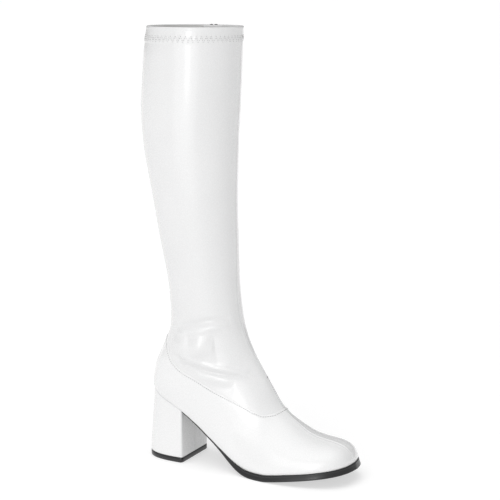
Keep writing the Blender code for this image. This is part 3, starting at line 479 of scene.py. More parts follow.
def shaft_relief(points):
    """Everything that stands up from or sinks into the shaft's skin."""
    s, c = points.T
    place = skin(s, c)
    below_collar = COLLAR - place[:, 2]
    relief = crease_relief(place) + slack(place, SLACK_SCALE, SLACK)
    relief += HEM_STEP * (1 - 0.7 * soft_step((below_collar - HEM_HEIGHT + 0.0020) / 0.0045))
    relief -= 0.3 * HEM_STEP * soft_step((below_collar - HEM_HEIGHT - 0.0040) / 0.0200)
    relief += HEM_ROLL * bell(below_collar, 0.0014, RIM_DROP)
    front = from_line(c, front_seam(s)) * girth(s)
    relief += seam_relief(front, 0.00042, 0.00038)
    back = from_line(c, 0.0) * girth(s)
    relief += seam_relief(back, 0.00035, 0.00022)
    round_leg = c * girth(s)
    in_hem = bell(below_collar, 0.0036, 0.0120)
    relief += PUCKER * in_hem * np.cos(round_leg / PUCKER_PITCH * 2 * math.pi)
    slit = np.abs(from_line(c, ZIP_LINE)) * girth(s) - ZIP_GAP / 2
    beside = (s < SLIT_END) & (slit > -1e-6)
    relief -= np.where(beside, 0.00035 * np.exp(-slit / 0.0004), 0.0)
    relief -= np.where(s < SLIT_END, 0.00022 * bell(slit, 0.0007, 0.0040), 0.0)
    return relief


def free_edges(faces):
    """Directed edges that only one face uses."""
    free = {}
    for face in faces:
        for edge in zip(face, face[1:] + face[:1]):
            if free.pop(edge[::-1], None) is None:
                free[edge] = True
    return list(free)


def new_object(name, data):
    made = bpy.data.objects.new(name, data)
    bpy.context.scene.collection.objects.link(made)
    return made


def put(name, points, faces, finish, body="boot", stands_for=()):
    """A smooth piece whose points are measured from the heel back."""
    faces = [tuple(face) for face in faces]
    used = np.array(sorted({v for face in faces for v in face}))
    index = np.full(len(points), -1)
    index[used] = np.arange(len(used))
    mesh = bpy.data.meshes.new(name)
    placed = np.asarray(points, float)[used] + (HEEL_BACK_X, 0.0, 0.0)
    mesh.from_pydata(placed.tolist(), [], [[int(index[v]) for v in face] for face in faces])
    mesh.materials.append(finish)
    mesh.shade_smooth()
    piece = new_object(name, mesh)
    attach(piece, body)
    if stands_for:
        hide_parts(*stands_for)
    return piece


def finish_nodes(name, roughness):
    """A new material, its nodes by type, and a function that joins two sockets."""
    made = bpy.data.materials.new(name)
    made.use_nodes = True
    nodes = made.node_tree.nodes
    shader = nodes["Principled BSDF"]
    shader.inputs["Roughness"].default_value = roughness

    def add(kind, **settings):
        node = nodes.new("ShaderNode" + kind)
        for key, value in settings.items():
            if hasattr(node, key):
                setattr(node, key, value)
            else:
                node.inputs[key.replace("_", " ").capitalize()].default_value = value
        return node

    return made, shader, add, made.node_tree.links.new


def grained(name, pale, dark, roughness, grain_scale, grain_height, patch_scale=18.0, coat=0.0, sheen=0.0):
    """A finish with two close tones in soft patches, a fine grain, and gloss that varies with the grain."""
    made, shader, add, join = finish_nodes(name, roughness)
    place = add("TexCoord").outputs["Object"]
    patches = add("TexNoise", Scale=patch_scale, Detail=3.0)
    join(place, patches.inputs["Vector"])
    tones = add("ValToRGB")
    for element, position, tone in zip(tones.color_ramp.elements, (0.3, 0.7), (dark, pale)):
        element.position = position
        element.color = (*tone, 1.0)
    join(patches.outputs["Fac"], tones.inputs["Fac"])
    join(tones.outputs["Color"], shader.inputs["Base Color"])
    grain = add("TexNoise", Scale=grain_scale, Detail=4.0)
    join(place, grain.inputs["Vector"])
    gloss = add("MapRange")
    gloss.inputs["To Min"].default_value = roughness * 0.88
    gloss.inputs["To Max"].default_value = roughness * 1.14
    join(grain.outputs["Fac"], gloss.inputs["Value"])
    join(gloss.outputs["Result"], shader.inputs["Roughness"])
    bump = add("Bump", Strength=1.0, Distance=grain_height)
    join(grain.outputs["Fac"], bump.inputs["Height"])
    join(bump.outputs["Normal"], shader.inputs["Normal"])
    for key, value in (("Coat Weight", coat), ("Coat Roughness", 0.15), ("Sheen Weight", sheen)):
        shader.inputs[key].default_value = value
    return made


COATED = {"roughness": 0.27, "grain_scale": 1400.0, "grain_height": 0.000004, "coat": 0.75}
white_fabric = grained("white_coated_fabric", (0.80, 0.80, 0.80), (0.785, 0.786, 0.788), **COATED)
# Painted shade: the shaft's copy of the white coated fabric is coloured darker than the foot panel's, so
# that the shaft looks shaded against the brighter foot.
stretch_fabric_painted_shade = grained("white_stretch_fabric_painted_shade", (0.755, 0.755, 0.757), (0.735, 0.736, 0.738), **COATED)
sheet, shaft_faces, panel_faces = upper_sheet()
shaft_lift = shaft_relief(sheet)


def on_skin(points, lift):
    """Places at a height over the boot's form."""
    s, c = np.asarray(points).T
    return skin(s, c) + skin_normals(s, c) * np.asarray(lift)[..., None]


def rim_profile():
    """Steps round the collar's folded edge: height over the skin and drop below the collar."""
    outer, inner = HEM_STEP + HEM_ROLL, -WALL
    middle, radius = (outer + inner) / 2, (outer - inner) / 2
    turns = np.linspace(0.0, math.pi, 8)
    return [(middle + radius * math.cos(t), RIM_DROP - RIM_DROP * math.sin(t)) for t in turns]


def make_shaft():
    """The sheet down to just under the foot panel, with a folded rim and turned edges along the slit."""
    places = on_skin(sheet, shaft_lift)
    top = sheet[:, 0] < 1e-9
    places[top, 2] -= RIM_DROP
    faces = list(shaft_faces)
    edges = free_edges(shaft_faces)
    rim = [(a, b) for a, b in edges if top[a] and top[b]]
    s, c = sheet.T
    slit = np.abs(np.abs(from_line(c, ZIP_LINE)) * girth(s) - ZIP_GAP / 2) < 1e-5
    slit &= s <= SLIT_END + 1e-9
    sides = [(a, b) for a, b in edges if slit[a] and slit[b] and not (top[a] and top[b])]
    end = np.abs(s - SLIT_END) < 1e-9
    sides += [(a, b) for a, b in edges if end[a] and end[b]]
    for edge_list, profile in ((rim, rim_profile()[1:]), (sides, ((-0.0008, None), (-WALL, None)))):
        ring = sorted({v for edge in edge_list for v in edge})
        before = {v: v for v in ring}
        for height, drop in profile:
            base = len(places)
            added = on_skin(sheet[ring], height)
            if drop is not None:
                added[:, 2] = COLLAR - drop
            places = np.concatenate([places, added])
            now = {v: base + k for k, v in enumerate(ring)}
            faces += [(before[b], before[a], now[a], now[b]) for a, b in edge_list]
            before = now
    put("shaft", places, faces, stretch_fabric_painted_shade, stands_for=("upper",))


make_shaft()

# The foot panel. The same white fabric, lasted over the foot from the back of the heel to the toe. It laps
# over the lower edge of the shaft, held by one row of stitching, and its own lower edge is turned in under
# the foot.
PANEL_STEP = 0.0006
LAP_ROW = 0.0019
LAP_GROOVE = 0.00016


def make_foot_panel():
    s, c = sheet.T
    under = -above_lap(s, c)
    rounded = np.sqrt(np.clip(1 - (1 - np.clip(under / 0.0015, 0, 1)) ** 2, 0, 1))
    lift = shaft_lift + PANEL_STEP * (0.10 + 0.60 * rounded)
    lift -= LAP_GROOVE * bell(under, 0.00055, LAP_ROW)
    over_edge = above_edge(s, c)
    lift -= 0.0003 * (1 - soft_step(over_edge / 0.0024))
    places = on_skin(sheet, lift)
    at_edge = over_edge < 1e-7
    places[at_edge, 2] = edge_height(places[at_edge, 0])
    edges = free_edges(panel_faces)
    faces = list(panel_faces)
    lap = [(a, b) for a, b in edges if under[a] < 1e-6 and under[b] < 1e-6]
    foot = [(a, b) for a, b in edges if at_edge[a] and at_edge[b]]
    for edge_list, turned in ((lap, False), (foot, True)):
        ring = sorted({v for edge in edge_list for v in edge})
        base = len(places)
        if turned:
            added = places[ring].copy()
            normal = skin_normals(*sheet[ring].T)
            added[:, :2] -= normal[:, :2] * 0.004
            added[:, 2] = edge_height(added[:, 0]) + 0.0002
        else:
            added = on_skin(sheet[ring], shaft_lift[ring] - 0.0004)
        places = np.concatenate([places, added])
        now = {v: base + k for k, v in enumerate(ring)}
        faces += [(b, a, now[a], now[b]) for a, b in edge_list]
    put("foot_panel", places, faces, white_fabric)


make_foot_panel()

# The lining. A thin pale knit that the coated fabric is bonded to. It shows inside the collar and down
# the leg.
LINING_ROWS = 150
LINING_COLUMNS = 120
LINING_CLEAR = 0.0105


def make_lining():
    rows = np.linspace(0.0, TOE_TIP_SECTION, LINING_ROWS)
    columns = np.arange(LINING_COLUMNS) / LINING_COLUMNS
    columns = columns[np.abs(columns - ZIP_LINE) > LINING_CLEAR - 0.0015]
    columns = np.sort(np.append(columns, [ZIP_LINE - LINING_CLEAR, ZIP_LINE + LINING_CLEAR]))
    count = len(columns)
    points = np.column_stack([np.repeat(rows, count), np.tile(columns, len(rows))])
    slit_column = int(np.searchsorted(columns, ZIP_LINE - LINING_CLEAR))
    faces = ring_faces(len(rows), count, slit_column, int(np.searchsorted(rows, SLIT_END)))
    points, faces, _ = cut(points, faces, above_edge)
    places = on_skin(points, -WALL - 0.00005)
    top = points[:, 0] < 1e-9
    places[top, 2] = COLLAR - RIM_DROP
    put("lining", places, faces, lining_knit)


lining_knit = grained(
    "lining_knit", (0.84, 0.84, 0.83), (0.80, 0.80, 0.79), 0.85, 1600.0, 0.00008, sheen=0.3
)
make_lining()

# Stitching. White thread, in one row along the lapped seam, a stretch zigzag that holds the turned collar,
# two rows down the front over the instep with a bar of stitches at their top, and a row on each side of
# the zip. Near-black capsules at the ends of each stitch are painted shade for the needle holes.
STITCH_LENGTH = 0.00195
STITCH_PITCH = 0.0023
THREAD = 0.00024
LAP_PITCH = 0.0025
HOLE = 0.00042
BAR_TACK_AT = 14.55
ZIGZAG_PITCH = 0.0050
ZIGZAG_DROPS = (0.0092, 0.0148)
FRONT_ROW = 0.0012
BAR_REACH = 0.0019
ZIP_ROW = 0.0042


def even_places(length, count, *values):
    """The values at even places along a line, whose points lie at these lengths."""
    wanted = np.linspace(0.0, length[-1], count)
    return np.column_stack([np.interp(wanted, length, value) for value in values])


def capsules(starts, ends, ups, thick, high, rise=0.0):
    """Short rounded rods from starts to ends, thick across and high along ups, which arch up by rise."""
    rings, sides = (0.0, 0.12, 0.5, 0.88, 1.0), 6
    size = (0.15, 0.8, 1.0, 0.8, 0.15)
    along = ends - starts
    across = unit(np.cross(along, ups))
    places = []
    for share, girth_share in zip(rings, size):
        centre = starts + along * share + ups * (rise * 4 * share * (1 - share))
        for k in range(sides):
            turn = 2 * math.pi * k / sides
            reach = across * thick * math.cos(turn) + ups * high * math.sin(turn)
            places.append(centre + reach * girth_share)
    places = np.stack(places, 1).reshape(-1, 3)
    each = len(rings) * sides
    pattern = [tuple(range(sides - 1, -1, -1)), tuple(range(each - sides, each))]
    pattern += ring_faces(len(rings), sides)
    return places, [tuple(v + n * each for v in face) for n in range(len(starts)) for face in pattern]


def lift_at(points):
    """Height of the finished surface over the form, on the shaft or on the foot panel."""
    under = -above_lap(*np.asarray(points).T)
    return shaft_relief(np.asarray(points)) + np.where(under > 0.0003, PANEL_STEP * 0.7, 0.0)


def sew(name, rows, length_share=STITCH_LENGTH / STITCH_PITCH):
    """Stitches along rows of (s, c) places, one between each two places, and painted shade for their needle
    holes.
    """
    starts, ends, ups = [], [], []
    for row in rows:
        row = np.array(row)
        row[:, 1] = np.unwrap(row[:, 1], period=1.0)
        s, c = row[:-1], row[1:]
        middle, half = (s + c) / 2, (c - s) / 2 * length_share
        for side, keep in ((-1, starts), (1, ends)):
            point = middle + half * side
            point[:, 1] %= 1.0
            keep.append(on_skin(point, lift_at(point) - 0.00002))
        middle[:, 1] %= 1.0
        ups.append(skin_normals(*middle.T))
    starts, ends, ups = (np.concatenate(part) for part in (starts, ends, ups))
    places, faces = capsules(starts, ends, ups, THREAD, THREAD * 0.7, 0.00008)
    put(name, places, faces, white_thread)
    # Near-black capsules over both ends of each stitch: painted shade for the needle holes.
    tips = np.concatenate([starts - (ends - starts) * 0.10, ends + (ends - starts) * 0.04])
    tails = np.concatenate([starts - (ends - starts) * 0.02, ends + (ends - starts) * 0.12])
    lifts = np.concatenate([ups, ups])
    places, faces = capsules(tips + lifts * 0.0001, tails + lifts * 0.0001, lifts, HOLE, HOLE * 0.4)
    put(name + "_hole_shade", places, faces, needle_hole_painted_shade)


white_thread = grained(
    "white_thread", (0.80, 0.80, 0.80), (0.74, 0.74, 0.74), 0.6, 2500.0, 0.00006, sheen=0.2
)
# Painted shade: the needle holes are near-black capsules on the fabric, standing for the shade inside each
# hole.
needle_hole_painted_shade = grained("needle_hole_painted_shade", (0.055, 0.055, 0.055), (0.04, 0.04, 0.04), 0.8, 2500.0, 0.00004)


def along_c(places_s, places_c, pitch):
    """Even (s, c) places along a line given by arrays of s and c, measured on the skin."""
    length = travelled(skin(places_s, places_c))
    return even_places(length, int(round(length[-1] / pitch)) + 1, places_s, places_c)


def lap_row():
    c = np.linspace(0.002, 0.998, 1500)
    return along_c(lap_section(c, LAP_ROW), c, LAP_PITCH)


def below_collar(drop, c):
    return first_root(lambda s: skin(s, c)[..., 2] > COLLAR - drop, 0.0, ANKLE_SECTION)


def hem_zigzag():
    """Each leg of the zigzag is three short stitches."""
    legs = 2 * int(round(girth(0.15) / ZIGZAG_PITCH))
    start, stop = ZIP_LINE + 0.0045 / 0.29, ZIP_LINE + 1 - 0.0045 / 0.29
    turns = np.linspace(start, stop, legs + 1)
    drops = np.where(np.arange(legs + 1) % 2, ZIGZAG_DROPS[1], ZIGZAG_DROPS[0])
    fine = np.arange(3 * legs + 1) / 3
    c = np.interp(fine, np.arange(legs + 1), turns) % 1.0
    drop = np.interp(fine, np.arange(legs + 1), drops)
    return np.column_stack([below_collar(drop, c), c])


def beside_front(side):
    s = np.linspace(BAR_TACK_AT, float(lap_section(0.5)) - 0.10, 200)
    return along_c(s, front_seam(s) + side * FRONT_ROW / girth(s), 0.0024)


def bar_tack():
    """Short stitches side by side across the top of the two front rows."""
    s = BAR_TACK_AT - 0.06 + 0.035 * np.arange(5)
    return [[(row, front_seam(row) + side * BAR_REACH / girth(row)) for side in (-1, 1)] for row in s]


def beside_slit(side):
    s = np.linspace(0.02, SLIT_END + 0.05, 1200)
    return along_c(s, ZIP_LINE + side * (ZIP_GAP / 2 + ZIP_ROW) / girth(s), STITCH_PITCH)


sew("lap_stitches", [lap_row()])
sew("hem_zigzag", [hem_zigzag()])
sew("front_stitches", [beside_front(-1), beside_front(1)])
sew("bar_tack", bar_tack(), 0.9)
sew("zip_stitches", [beside_slit(-1), beside_slit(1)])

# The zip. White woven tape behind the slit with a nylon coil on it, and two bent metal stops over its
# upper end. The slider is at the top. Its flat pull hangs from the bridge, the only piece that moves on
# its own.
TAPE_WIDTH = 0.0220
TAPE_THICKNESS = 0.0006
SLIDER_REACH = 0.0030 + 0.0105 + GAP
COIL_PITCH = 0.0013
TOP_STOP_DROPS = (0.0004, 0.0018)


def zip_rows(first, pitch):
    fine = np.linspace(0.0, SLIT_END, 3000)
    line = along_c(fine, np.full(len(fine), ZIP_LINE), pitch)
    drop = COLLAR - skin(line[:, 0], line[:, 1])[:, 2]
    return line[drop > first]


def make_tape():
    rows = zip_rows(-1.0, 0.003)[:, 0]
    offsets = np.linspace(-TAPE_WIDTH / 2, TAPE_WIDTH / 2, 13)
    points = np.array([(s, ZIP_LINE + offset / girth(s)) for s in rows for offset in offsets])
    outer = on_skin(points, -WALL - GAP)
    inner = on_skin(points, -WALL - GAP - TAPE_THICKNESS)
    places = np.concatenate([outer, inner])
    places[np.tile(points[:, 0] < 1e-9, 2), 2] = COLLAR - 0.0006
    count, width = len(points), len(offsets)
    faces = []
    for i in range(len(rows) - 1):
        for j in range(width - 1):
            a = i * width + j
            faces.append((a, a + width, a + width + 1, a + 1))
            faces.append((a + count, a + count + 1, a + count + width + 1, a + count + width))
    for a, b in free_edges(faces[::2]):
        faces.append((b, a, a + count, b + count))
    put("zip_tape_woven", places, faces, tape_weave, stands_for=("zip_tape",))


def rods_on_tape(s, lean, near, far, thick, high):
    """Rods across the tape on both sides of the zip line. Each end has a distance from it and a height."""
    starts, ends = [], []
    for side in (-1, 1):
        for keep, turns, (away, height) in ((starts, 1, near), (ends, 2, far)):
            at = np.column_stack([s + turns * lean * side, ZIP_LINE + side * away / girth(s)])
            keep.append(on_skin(at, height))
    ups = np.tile(skin_normals(s, ZIP_LINE), (2, 1))
    return capsules(np.concatenate(starts), np.concatenate(ends), ups, thick, high)


def make_coil():
    s = zip_rows(SLIDER_REACH, COIL_PITCH)[:, 0]
    lean = 0.25 * np.gradient(s)
    places, faces = rods_on_tape(s, lean, (-0.0002, -0.0006), (0.0027, -0.0007), 0.00048, 0.00075)
    put("zip_coil", places, faces, nylon_coil, stands_for=("zip_chain",))


def make_top_stops():
    s = below_collar(np.array(TOP_STOP_DROPS), ZIP_LINE)
    places, faces = rods_on_tape(s, 0.0, (0.0006, -0.0010), (0.0042, -0.0010), 0.0008, 0.0016)
    put("zip_top_stops", places, faces, dark_stop)


tape_weave = grained("tape_weave", (0.78, 0.78, 0.78), (0.70, 0.70, 0.70), 0.8, 1800.0, 0.0001, sheen=0.2)
nylon_coil = grained("nylon_coil", (0.80, 0.80, 0.79), (0.74, 0.74, 0.73), 0.4, 1200.0, 0.00003)
dark_stop = grained("dark_stop", (0.10, 0.10, 0.10), (0.07, 0.07, 0.07), 0.4, 900.0, 0.00002)
nickel_plate = grained("nickel_plate", (0.52, 0.51, 0.50), (0.44, 0.43, 0.42), 0.26, 700.0, 0.00001)
nickel_plate.node_tree.nodes["Principled BSDF"].inputs["Metallic"].default_value = 1.0
make_tape()
make_top_stops()
make_coil()
for node, round_off in (("zip_slider", 0.00035), ("zip_pull", 0.0003)):
    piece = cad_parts[node]
    piece.data.materials.clear()
    piece.data.materials.append(nickel_plate)
    soften = piece.modifiers.new("Rounded edges", "BEVEL")
    soften.width = round_off
    soften.segments = 3
    soften.limit_method = "ANGLE"

# The sock. A grey fabric sock over the insole board, which closes the foot from the heel to the toe inside.
INSOLE_THICKNESS = 0.0030


def edge_angle(s):
    """The angle at which each section meets the upper's lower edge."""
    section = spline_at(SECTIONS, BENDS, s)

    def below(angle):
        along, _ = around(section, angle)
        x = section[..., 0] + along * (section[..., 2] - section[..., 0])
        z = section[..., 1] + along * (section[..., 3] - section[..., 1])
        return z < edge_height(x)

    return first_root(below, 0.0, math.pi)


def lower_edge(count):
    """The upper's lower edge on the lateral and the medial side, from the heel back to the toe tip."""
    start = float(first_root(lambda s: above_edge(s, 0.0) > 0, ANKLE_SECTION, LAST_SECTION))
    s = start + (TOE_TIP_SECTION - start) * np.linspace(0.0, 1.0, count) ** 1.6
    turn = edge_angle(s) / (2 * math.pi)
    return skin(s, turn), skin(s, 1.0 - turn)


def whole_outline(widen):
    """Closed plan outline of the lower edge, from the toe by the lateral side, the heel and back."""
    lateral, medial = lower_edge(240)
    loop = np.concatenate([lateral[::-1], medial[1:]])
    along = np.gradient(loop[:, :2], axis=0)
    outward = unit(np.stack([along[:, 1], -along[:, 0]], -1))
    return loop[:, :2] - outward * widen(loop[:, 0])[:, None]


def half_widths(outline, stations):
    """Lateral and medial y of a closed outline at x stations."""
    back = int(np.argmin(outline[:, 0]))
    sides = outline[: back + 1][::-1], outline[back:]
    sides = [side[np.argsort(side[:, 0])] for side in sides]
    return [np.interp(stations, side[:, 0], side[:, 1]) for side in sides]


def loft(rings):
    """Faces of a solid through closed rings of equal counts, with a face at each end."""
    count = len(rings[0])
    ends = [tuple(range(count - 1, -1, -1)), tuple(range((len(rings) - 1) * count, len(rings) * count))]
    return np.concatenate(rings), ends + ring_faces(len(rings), count)


def put_solid(name, rings, finish, stands_for):
    """A solid piece through closed rings, with its faces turned outwards."""
    points, faces = loft(rings)
    piece = put(name, points, faces, finish, stands_for=(stands_for,))
    build = bmesh.new()
    build.from_mesh(piece.data)
    bmesh.ops.recalc_face_normals(build, faces=build.faces)
    build.to_mesh(piece.data)
    build.free()


def make_sock():
    outline = whole_outline(lambda x: np.full(len(x), -(WALL + 0.0007 + 2 * GAP)))
    back, tip = float(outline[:, 0].min()), float(outline[:, 0].max())
    x = back + 0.0002 + (tip - back - 0.0004) * (1 - np.cos(np.linspace(0, math.pi, 90))) / 2
    lateral, medial = half_widths(outline, x)
    across = np.linspace(-1, 1, 15)[:, None]
    y = (lateral + medial) / 2 + across * (medial - lateral) / 2
    low = edge_height(x) + 0.0001
    top = low + INSOLE_THICKNESS * (0.55 + 0.45 * np.sqrt(1 - across**2))
    y, z = np.concatenate([y, y[[-1, 0]]]), np.concatenate([top, [low, low]])
    rings = np.stack([np.broadcast_to(x, y.shape), y, z], -1).transpose(1, 0, 2)
    put_solid("sock", rings, sock_cloth, "insole")


sock_cloth = grained("sock_cloth", (0.50, 0.50, 0.49), (0.43, 0.43, 0.42), 0.9, 1400.0, 0.0001, sheen=0.3)
make_sock()

# The outsole. A black moulded unit from the heel's breast to the toe, cemented to the lasted upper. It is
# thin under the waist and full under the forepart, with a lip along its top and an edge that flares out a
# little.
SOLE_LEDGE = 0.0010
SOLE_FLARE = 0.0022
EDGE_CHAMFER = 0.0011
SOLE_TAPER = (
    # x share of FOOT_LENGTH, share of SOLE_THICKNESS
    (0.0, 0.26), (0.32, 0.27), (0.39, 0.44), (0.46, 0.74), (0.53, 0.95), (0.59, 1.0), (1.1, 1.0),
)
SOLE_EDGE = (
    # share down the edge, metres out from the plain flare
    (0.0, -0.00035), (0.05, 0.0), (0.18, 0.00012), (0.25, 0.0), (0.3, -0.00022), (0.36, -0.00005),
    (0.6, 0.0), (0.86, 0.0),
)


def make_outsole():
    def fullness(x):
        return soft_step((x / FOOT_LENGTH - 0.36) / 0.18)

    tread = whole_outline(lambda x: 0.0001 + (SOLE_LEDGE + SOLE_FLARE) * fullness(x))
    ledge = whole_outline(lambda x: 0.0001 + SOLE_LEDGE * fullness(x))
    start, tip = BREAST_AT + GAP, float(tread[:, 0].max()) - 0.00005
    x = start + (tip - start) * np.sin(math.pi / 2 * np.linspace(0, 1, 150))
    top_x = start + (x - start) * ((float(ledge[:, 0].max()) - 0.00005 - start) / (x[-1] - start))
    outer, inner = half_widths(tread, x), half_widths(ledge, top_x)
    thickness = SOLE_THICKNESS * smooth_line(x / FOOT_LENGTH, SOLE_TAPER)
    top = edge_height(top_x) - GAP / 2
    low = edge_height(x) - thickness
    width = outer[1] - outer[0]
    chamfer = np.minimum(EDGE_CHAMFER * thickness / SOLE_THICKNESS, 0.4 * width)
    halves = []
    for near, far, sign in zip(inner, outer, (-1, 1)):
        half = []
        for share, out in SOLE_EDGE:
            y = near + (far - near) * share + sign * out
            half.append((top_x + (x - top_x) * share, y, top + (low - top) * share))
        half.append((x, far - sign * chamfer * 0.3, low + chamfer * 0.3))
        half.append((x, far - sign * chamfer, low))
        halves.append(half)
    rings = np.array(halves[0] + halves[1][::-1]).transpose(2, 0, 1)
    put_solid("sole_unit", rings, black_sole, "outsole")


black_sole = grained(
    "black_sole", (0.016, 0.016, 0.017), (0.010, 0.010, 0.011), 0.30, 600.0, 0.00004, coat=0.15
)
make_outsole()

# The heel. A straight block wrapped in the same white fabric, its cover closed by a seam up the middle of
# the breast. It stands on a black rubber top piece, which is nailed on and trimmed flush.
TOP_PIECE_THICKNESS = 0.0055
TOP_PIECE_LATERAL = 0.0295
TOP_PIECE_MEDIAL = 0.0285
BACK_POINTS = 145
BREAST_POINTS = 49
HEEL_ROWS = 34
BREAST_SEAM_DEPTH = 0.0006
HEEL_TOP = ((0.0, 0.0003), (0.004, 0.0001))
HEEL_BOTTOM = ((0.996, 0.0002), (1.0, 0.0007))
TOP_PIECE_EDGE = (
    # height, metres drawn in
    (TOP_PIECE_THICKNESS, 0.0004),
    (TOP_PIECE_THICKNESS - 0.0004, 0.0),
    (0.0008, 0.0),
    (0.0002, 0.0003),
    (0.0, 0.0009),
)


def closed_heel_line(line):
    """A heel line from breast corner to breast corner, closed along the breast, with rounded corners."""
    back = even_places(travelled(line), BACK_POINTS, *line.T)
    ends = line[[-1, 0]]
    breast = even_places(travelled(ends), BREAST_POINTS, *ends.T)[1:-1]
    loop = np.concatenate([back, breast])
    reach = np.arange(-9, 10)
    weights = np.exp(-((reach / 3.2) ** 2))
    weights /= weights.sum()
    return sum(w * np.roll(loop, k, axis=0) for k, w in zip(reach, weights))


def with_breast_seam(loop):
    """A heel line with a fine groove at the middle of the breast, where the two ends of the cover meet."""
    middle = BACK_POINTS + (BREAST_POINTS - 3) // 2
    towards = loop[middle + 1] - loop[middle]
    across = np.array((-0.0009, -0.0005, -0.00025, 0.0, 0.00025, 0.0005, 0.0009))
    seam = loop[middle] + towards / np.linalg.norm(towards) * across[:, None]
    seam[:, 0] -= BREAST_SEAM_DEPTH * bell(across, 0.0003)
    return np.concatenate([loop[:middle], seam, loop[middle + 1 :]])


def seat_line():
    outline = whole_outline(lambda x: np.full(len(x), 0.0002))
    behind = outline[outline[:, 0] < BREAST_AT]
    ends = half_widths(outline, np.array([BREAST_AT]))
    return closed_heel_line(np.concatenate([[(BREAST_AT, ends[0][0])], behind, [(BREAST_AT, ends[1][0])]]))


def top_piece_line():
    turn = np.linspace(0.0, math.pi, 240)
    x = BREAST_AT - (BREAST_AT - TOP_PIECE_BACK) * np.sin(turn) ** 0.72
    side = np.sign(np.cos(turn)) * np.abs(np.cos(turn)) ** 0.72
    y = np.where(side > 0, -TOP_PIECE_LATERAL, -TOP_PIECE_MEDIAL) * side
    return closed_heel_line(np.stack([x, y], -1))


def drawn_in(line, inset):
    """A closed line moved inwards."""
    along = np.roll(line, -1, axis=0) - np.roll(line, 1, axis=0)
    outward = unit(np.stack([along[:, 1], -along[:, 0]], -1))
    centre = line.mean(0)
    outward *= np.sign((outward * (line - centre)).sum(1)).mean()
    return line - outward * inset


def make_heel():
    seat, foot = with_breast_seam(seat_line()), with_breast_seam(top_piece_line())
    seat_z = edge_height(seat[:, 0]) - GAP
    foot_z = TOP_PIECE_THICKNESS + GAP / 2
    rings = [np.column_stack([drawn_in(seat, 0.0030), seat_z])]
    middle = [(k / HEEL_ROWS, 0.0) for k in range(1, HEEL_ROWS)]
    for share, inset in (*HEEL_TOP, *middle, *HEEL_BOTTOM):
        plan = seat + (foot - seat) * (0.5 * share + 0.5 * soft_step(share))
        rings.append(np.column_stack([drawn_in(plan, inset), seat_z + (foot_z - seat_z) * share]))
    put_solid("heel_block", rings, white_fabric, "heel")


def make_top_piece():
    foot = top_piece_line()
    rings = []
    for height, inset in TOP_PIECE_EDGE:
        rings.append(np.column_stack([drawn_in(foot, inset), np.full(len(foot), height)]))
    put_solid("top_lift", rings, black_sole, "top_piece")


make_heel()
make_top_piece()

# The floor, the light and the camera. A pale seamless ground, broad soft light from the front, and the
# camera on the outer side of the boot, a little in front of it and above the collar, looking slightly down.
CAMERA_PLACE = (0.7747, -1.3416, 0.5181)
CAMERA_TURN = 26.998
CAMERA_DOWN = 10.731
LENS = 106.377
LIGHTS = (
    # name, place, width, height, watts, aims at
    ("key", (0.34, -2.25, 0.66), 0.40, 1.00, 4.3, (0.03, 0.0, 0.20)),
    ("low", (0.14, -0.95, 0.36), 0.80, 0.60, 1.30, (0.12, 0.0, 0.00)),
)
SKYLIGHT = 1.66
SKYLIGHT_WIDTH = 60
SKYLIGHT_FROM = (-0.05, -0.25, 1.0)
BRIGHT_SIDE = (0.18, -0.88, 0.44)
STUDIO_LEAST = 0.305
STUDIO_MOST = 0.570


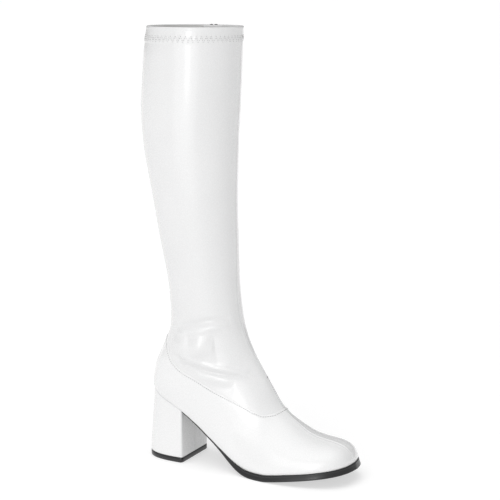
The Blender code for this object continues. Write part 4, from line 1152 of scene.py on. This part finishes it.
def make_floor():
    floor, shader, add, join = finish_nodes("pale_floor", 0.6)
    place = add("TexCoord").outputs["Object"]
    tone = add("TexNoise", Scale=0.8, Detail=2.0)
    join(place, tone.inputs["Vector"])
    ramp = add("ValToRGB")
    ramp.color_ramp.elements[0].color = (0.44, 0.44, 0.44, 1.0)
    ramp.color_ramp.elements[1].color = (0.47, 0.47, 0.47, 1.0)
    join(tone.outputs["Fac"], ramp.inputs["Fac"])
    join(ramp.outputs["Color"], shader.inputs["Base Color"])
    shader.inputs["Emission Color"].default_value = (1.0, 1.0, 1.0, 1.0)
    shader.inputs["Emission Strength"].default_value = 0.575
    turns = np.linspace(0.0, 2 * math.pi, 96, endpoint=False)
    mesh = bpy.data.meshes.new("floor")
    mesh.from_pydata([(60 * math.cos(t), 60 * math.sin(t), 0.0) for t in turns], [], [tuple(range(96))])
    mesh.materials.append(floor)
    ground = new_object("floor", mesh)


def hang(name, kind, strength, place, aim):
    light = new_object(name, bpy.data.lights.new(name, kind))
    light.data.energy = strength
    light.location = place
    light.rotation_euler = (Vector(aim) - Vector(place)).to_track_quat("-Z", "Y").to_euler()
    return light


def make_lights():
    for name, place, width, height, watts, aim in LIGHTS:
        lamp = hang(name, "AREA", watts, place, aim).data
        lamp.shape = "RECTANGLE"
        lamp.size, lamp.size_y = width, height
    sky = hang("skylight", "SUN", SKYLIGHT, SKYLIGHT_FROM, (0.0, 0.0, 0.0))
    sky.data.angle = math.radians(SKYLIGHT_WIDTH)
    sky.visible_glossy = False


def make_studio():
    """A pale room, brighter on the side that the light comes from."""
    studio = bpy.data.worlds.new("studio")
    studio.use_nodes = True
    nodes, join = studio.node_tree.nodes, studio.node_tree.links.new
    room = nodes["Background"]
    room.inputs["Color"].default_value = (1.0, 1.0, 1.0, 1.0)
    towards = nodes.new("ShaderNodeTexCoord")
    facing = nodes.new("ShaderNodeVectorMath")
    facing.operation = "DOT_PRODUCT"
    facing.inputs[1].default_value = BRIGHT_SIDE
    level = nodes.new("ShaderNodeMapRange")
    level.inputs["From Min"].default_value = -1.0
    level.inputs["To Min"].default_value = STUDIO_LEAST
    level.inputs["To Max"].default_value = STUDIO_MOST
    join(towards.outputs["Generated"], facing.inputs[0])
    join(facing.outputs["Value"], level.inputs["Value"])
    join(level.outputs["Result"], room.inputs["Strength"])
    bpy.context.scene.world = studio
    bpy.context.scene.view_settings.view_transform = "Standard"


def make_camera():
    camera = new_object("camera", bpy.data.cameras.new("camera"))
    camera.data.lens = LENS
    camera.data.sensor_width = 36.0
    camera.data.clip_end = 200.0
    camera.location = CAMERA_PLACE
    camera.rotation_euler = (math.radians(90 - CAMERA_DOWN), 0.0, math.radians(CAMERA_TURN))
    bpy.context.scene.camera = camera


make_floor()
make_lights()
make_studio()
make_camera()
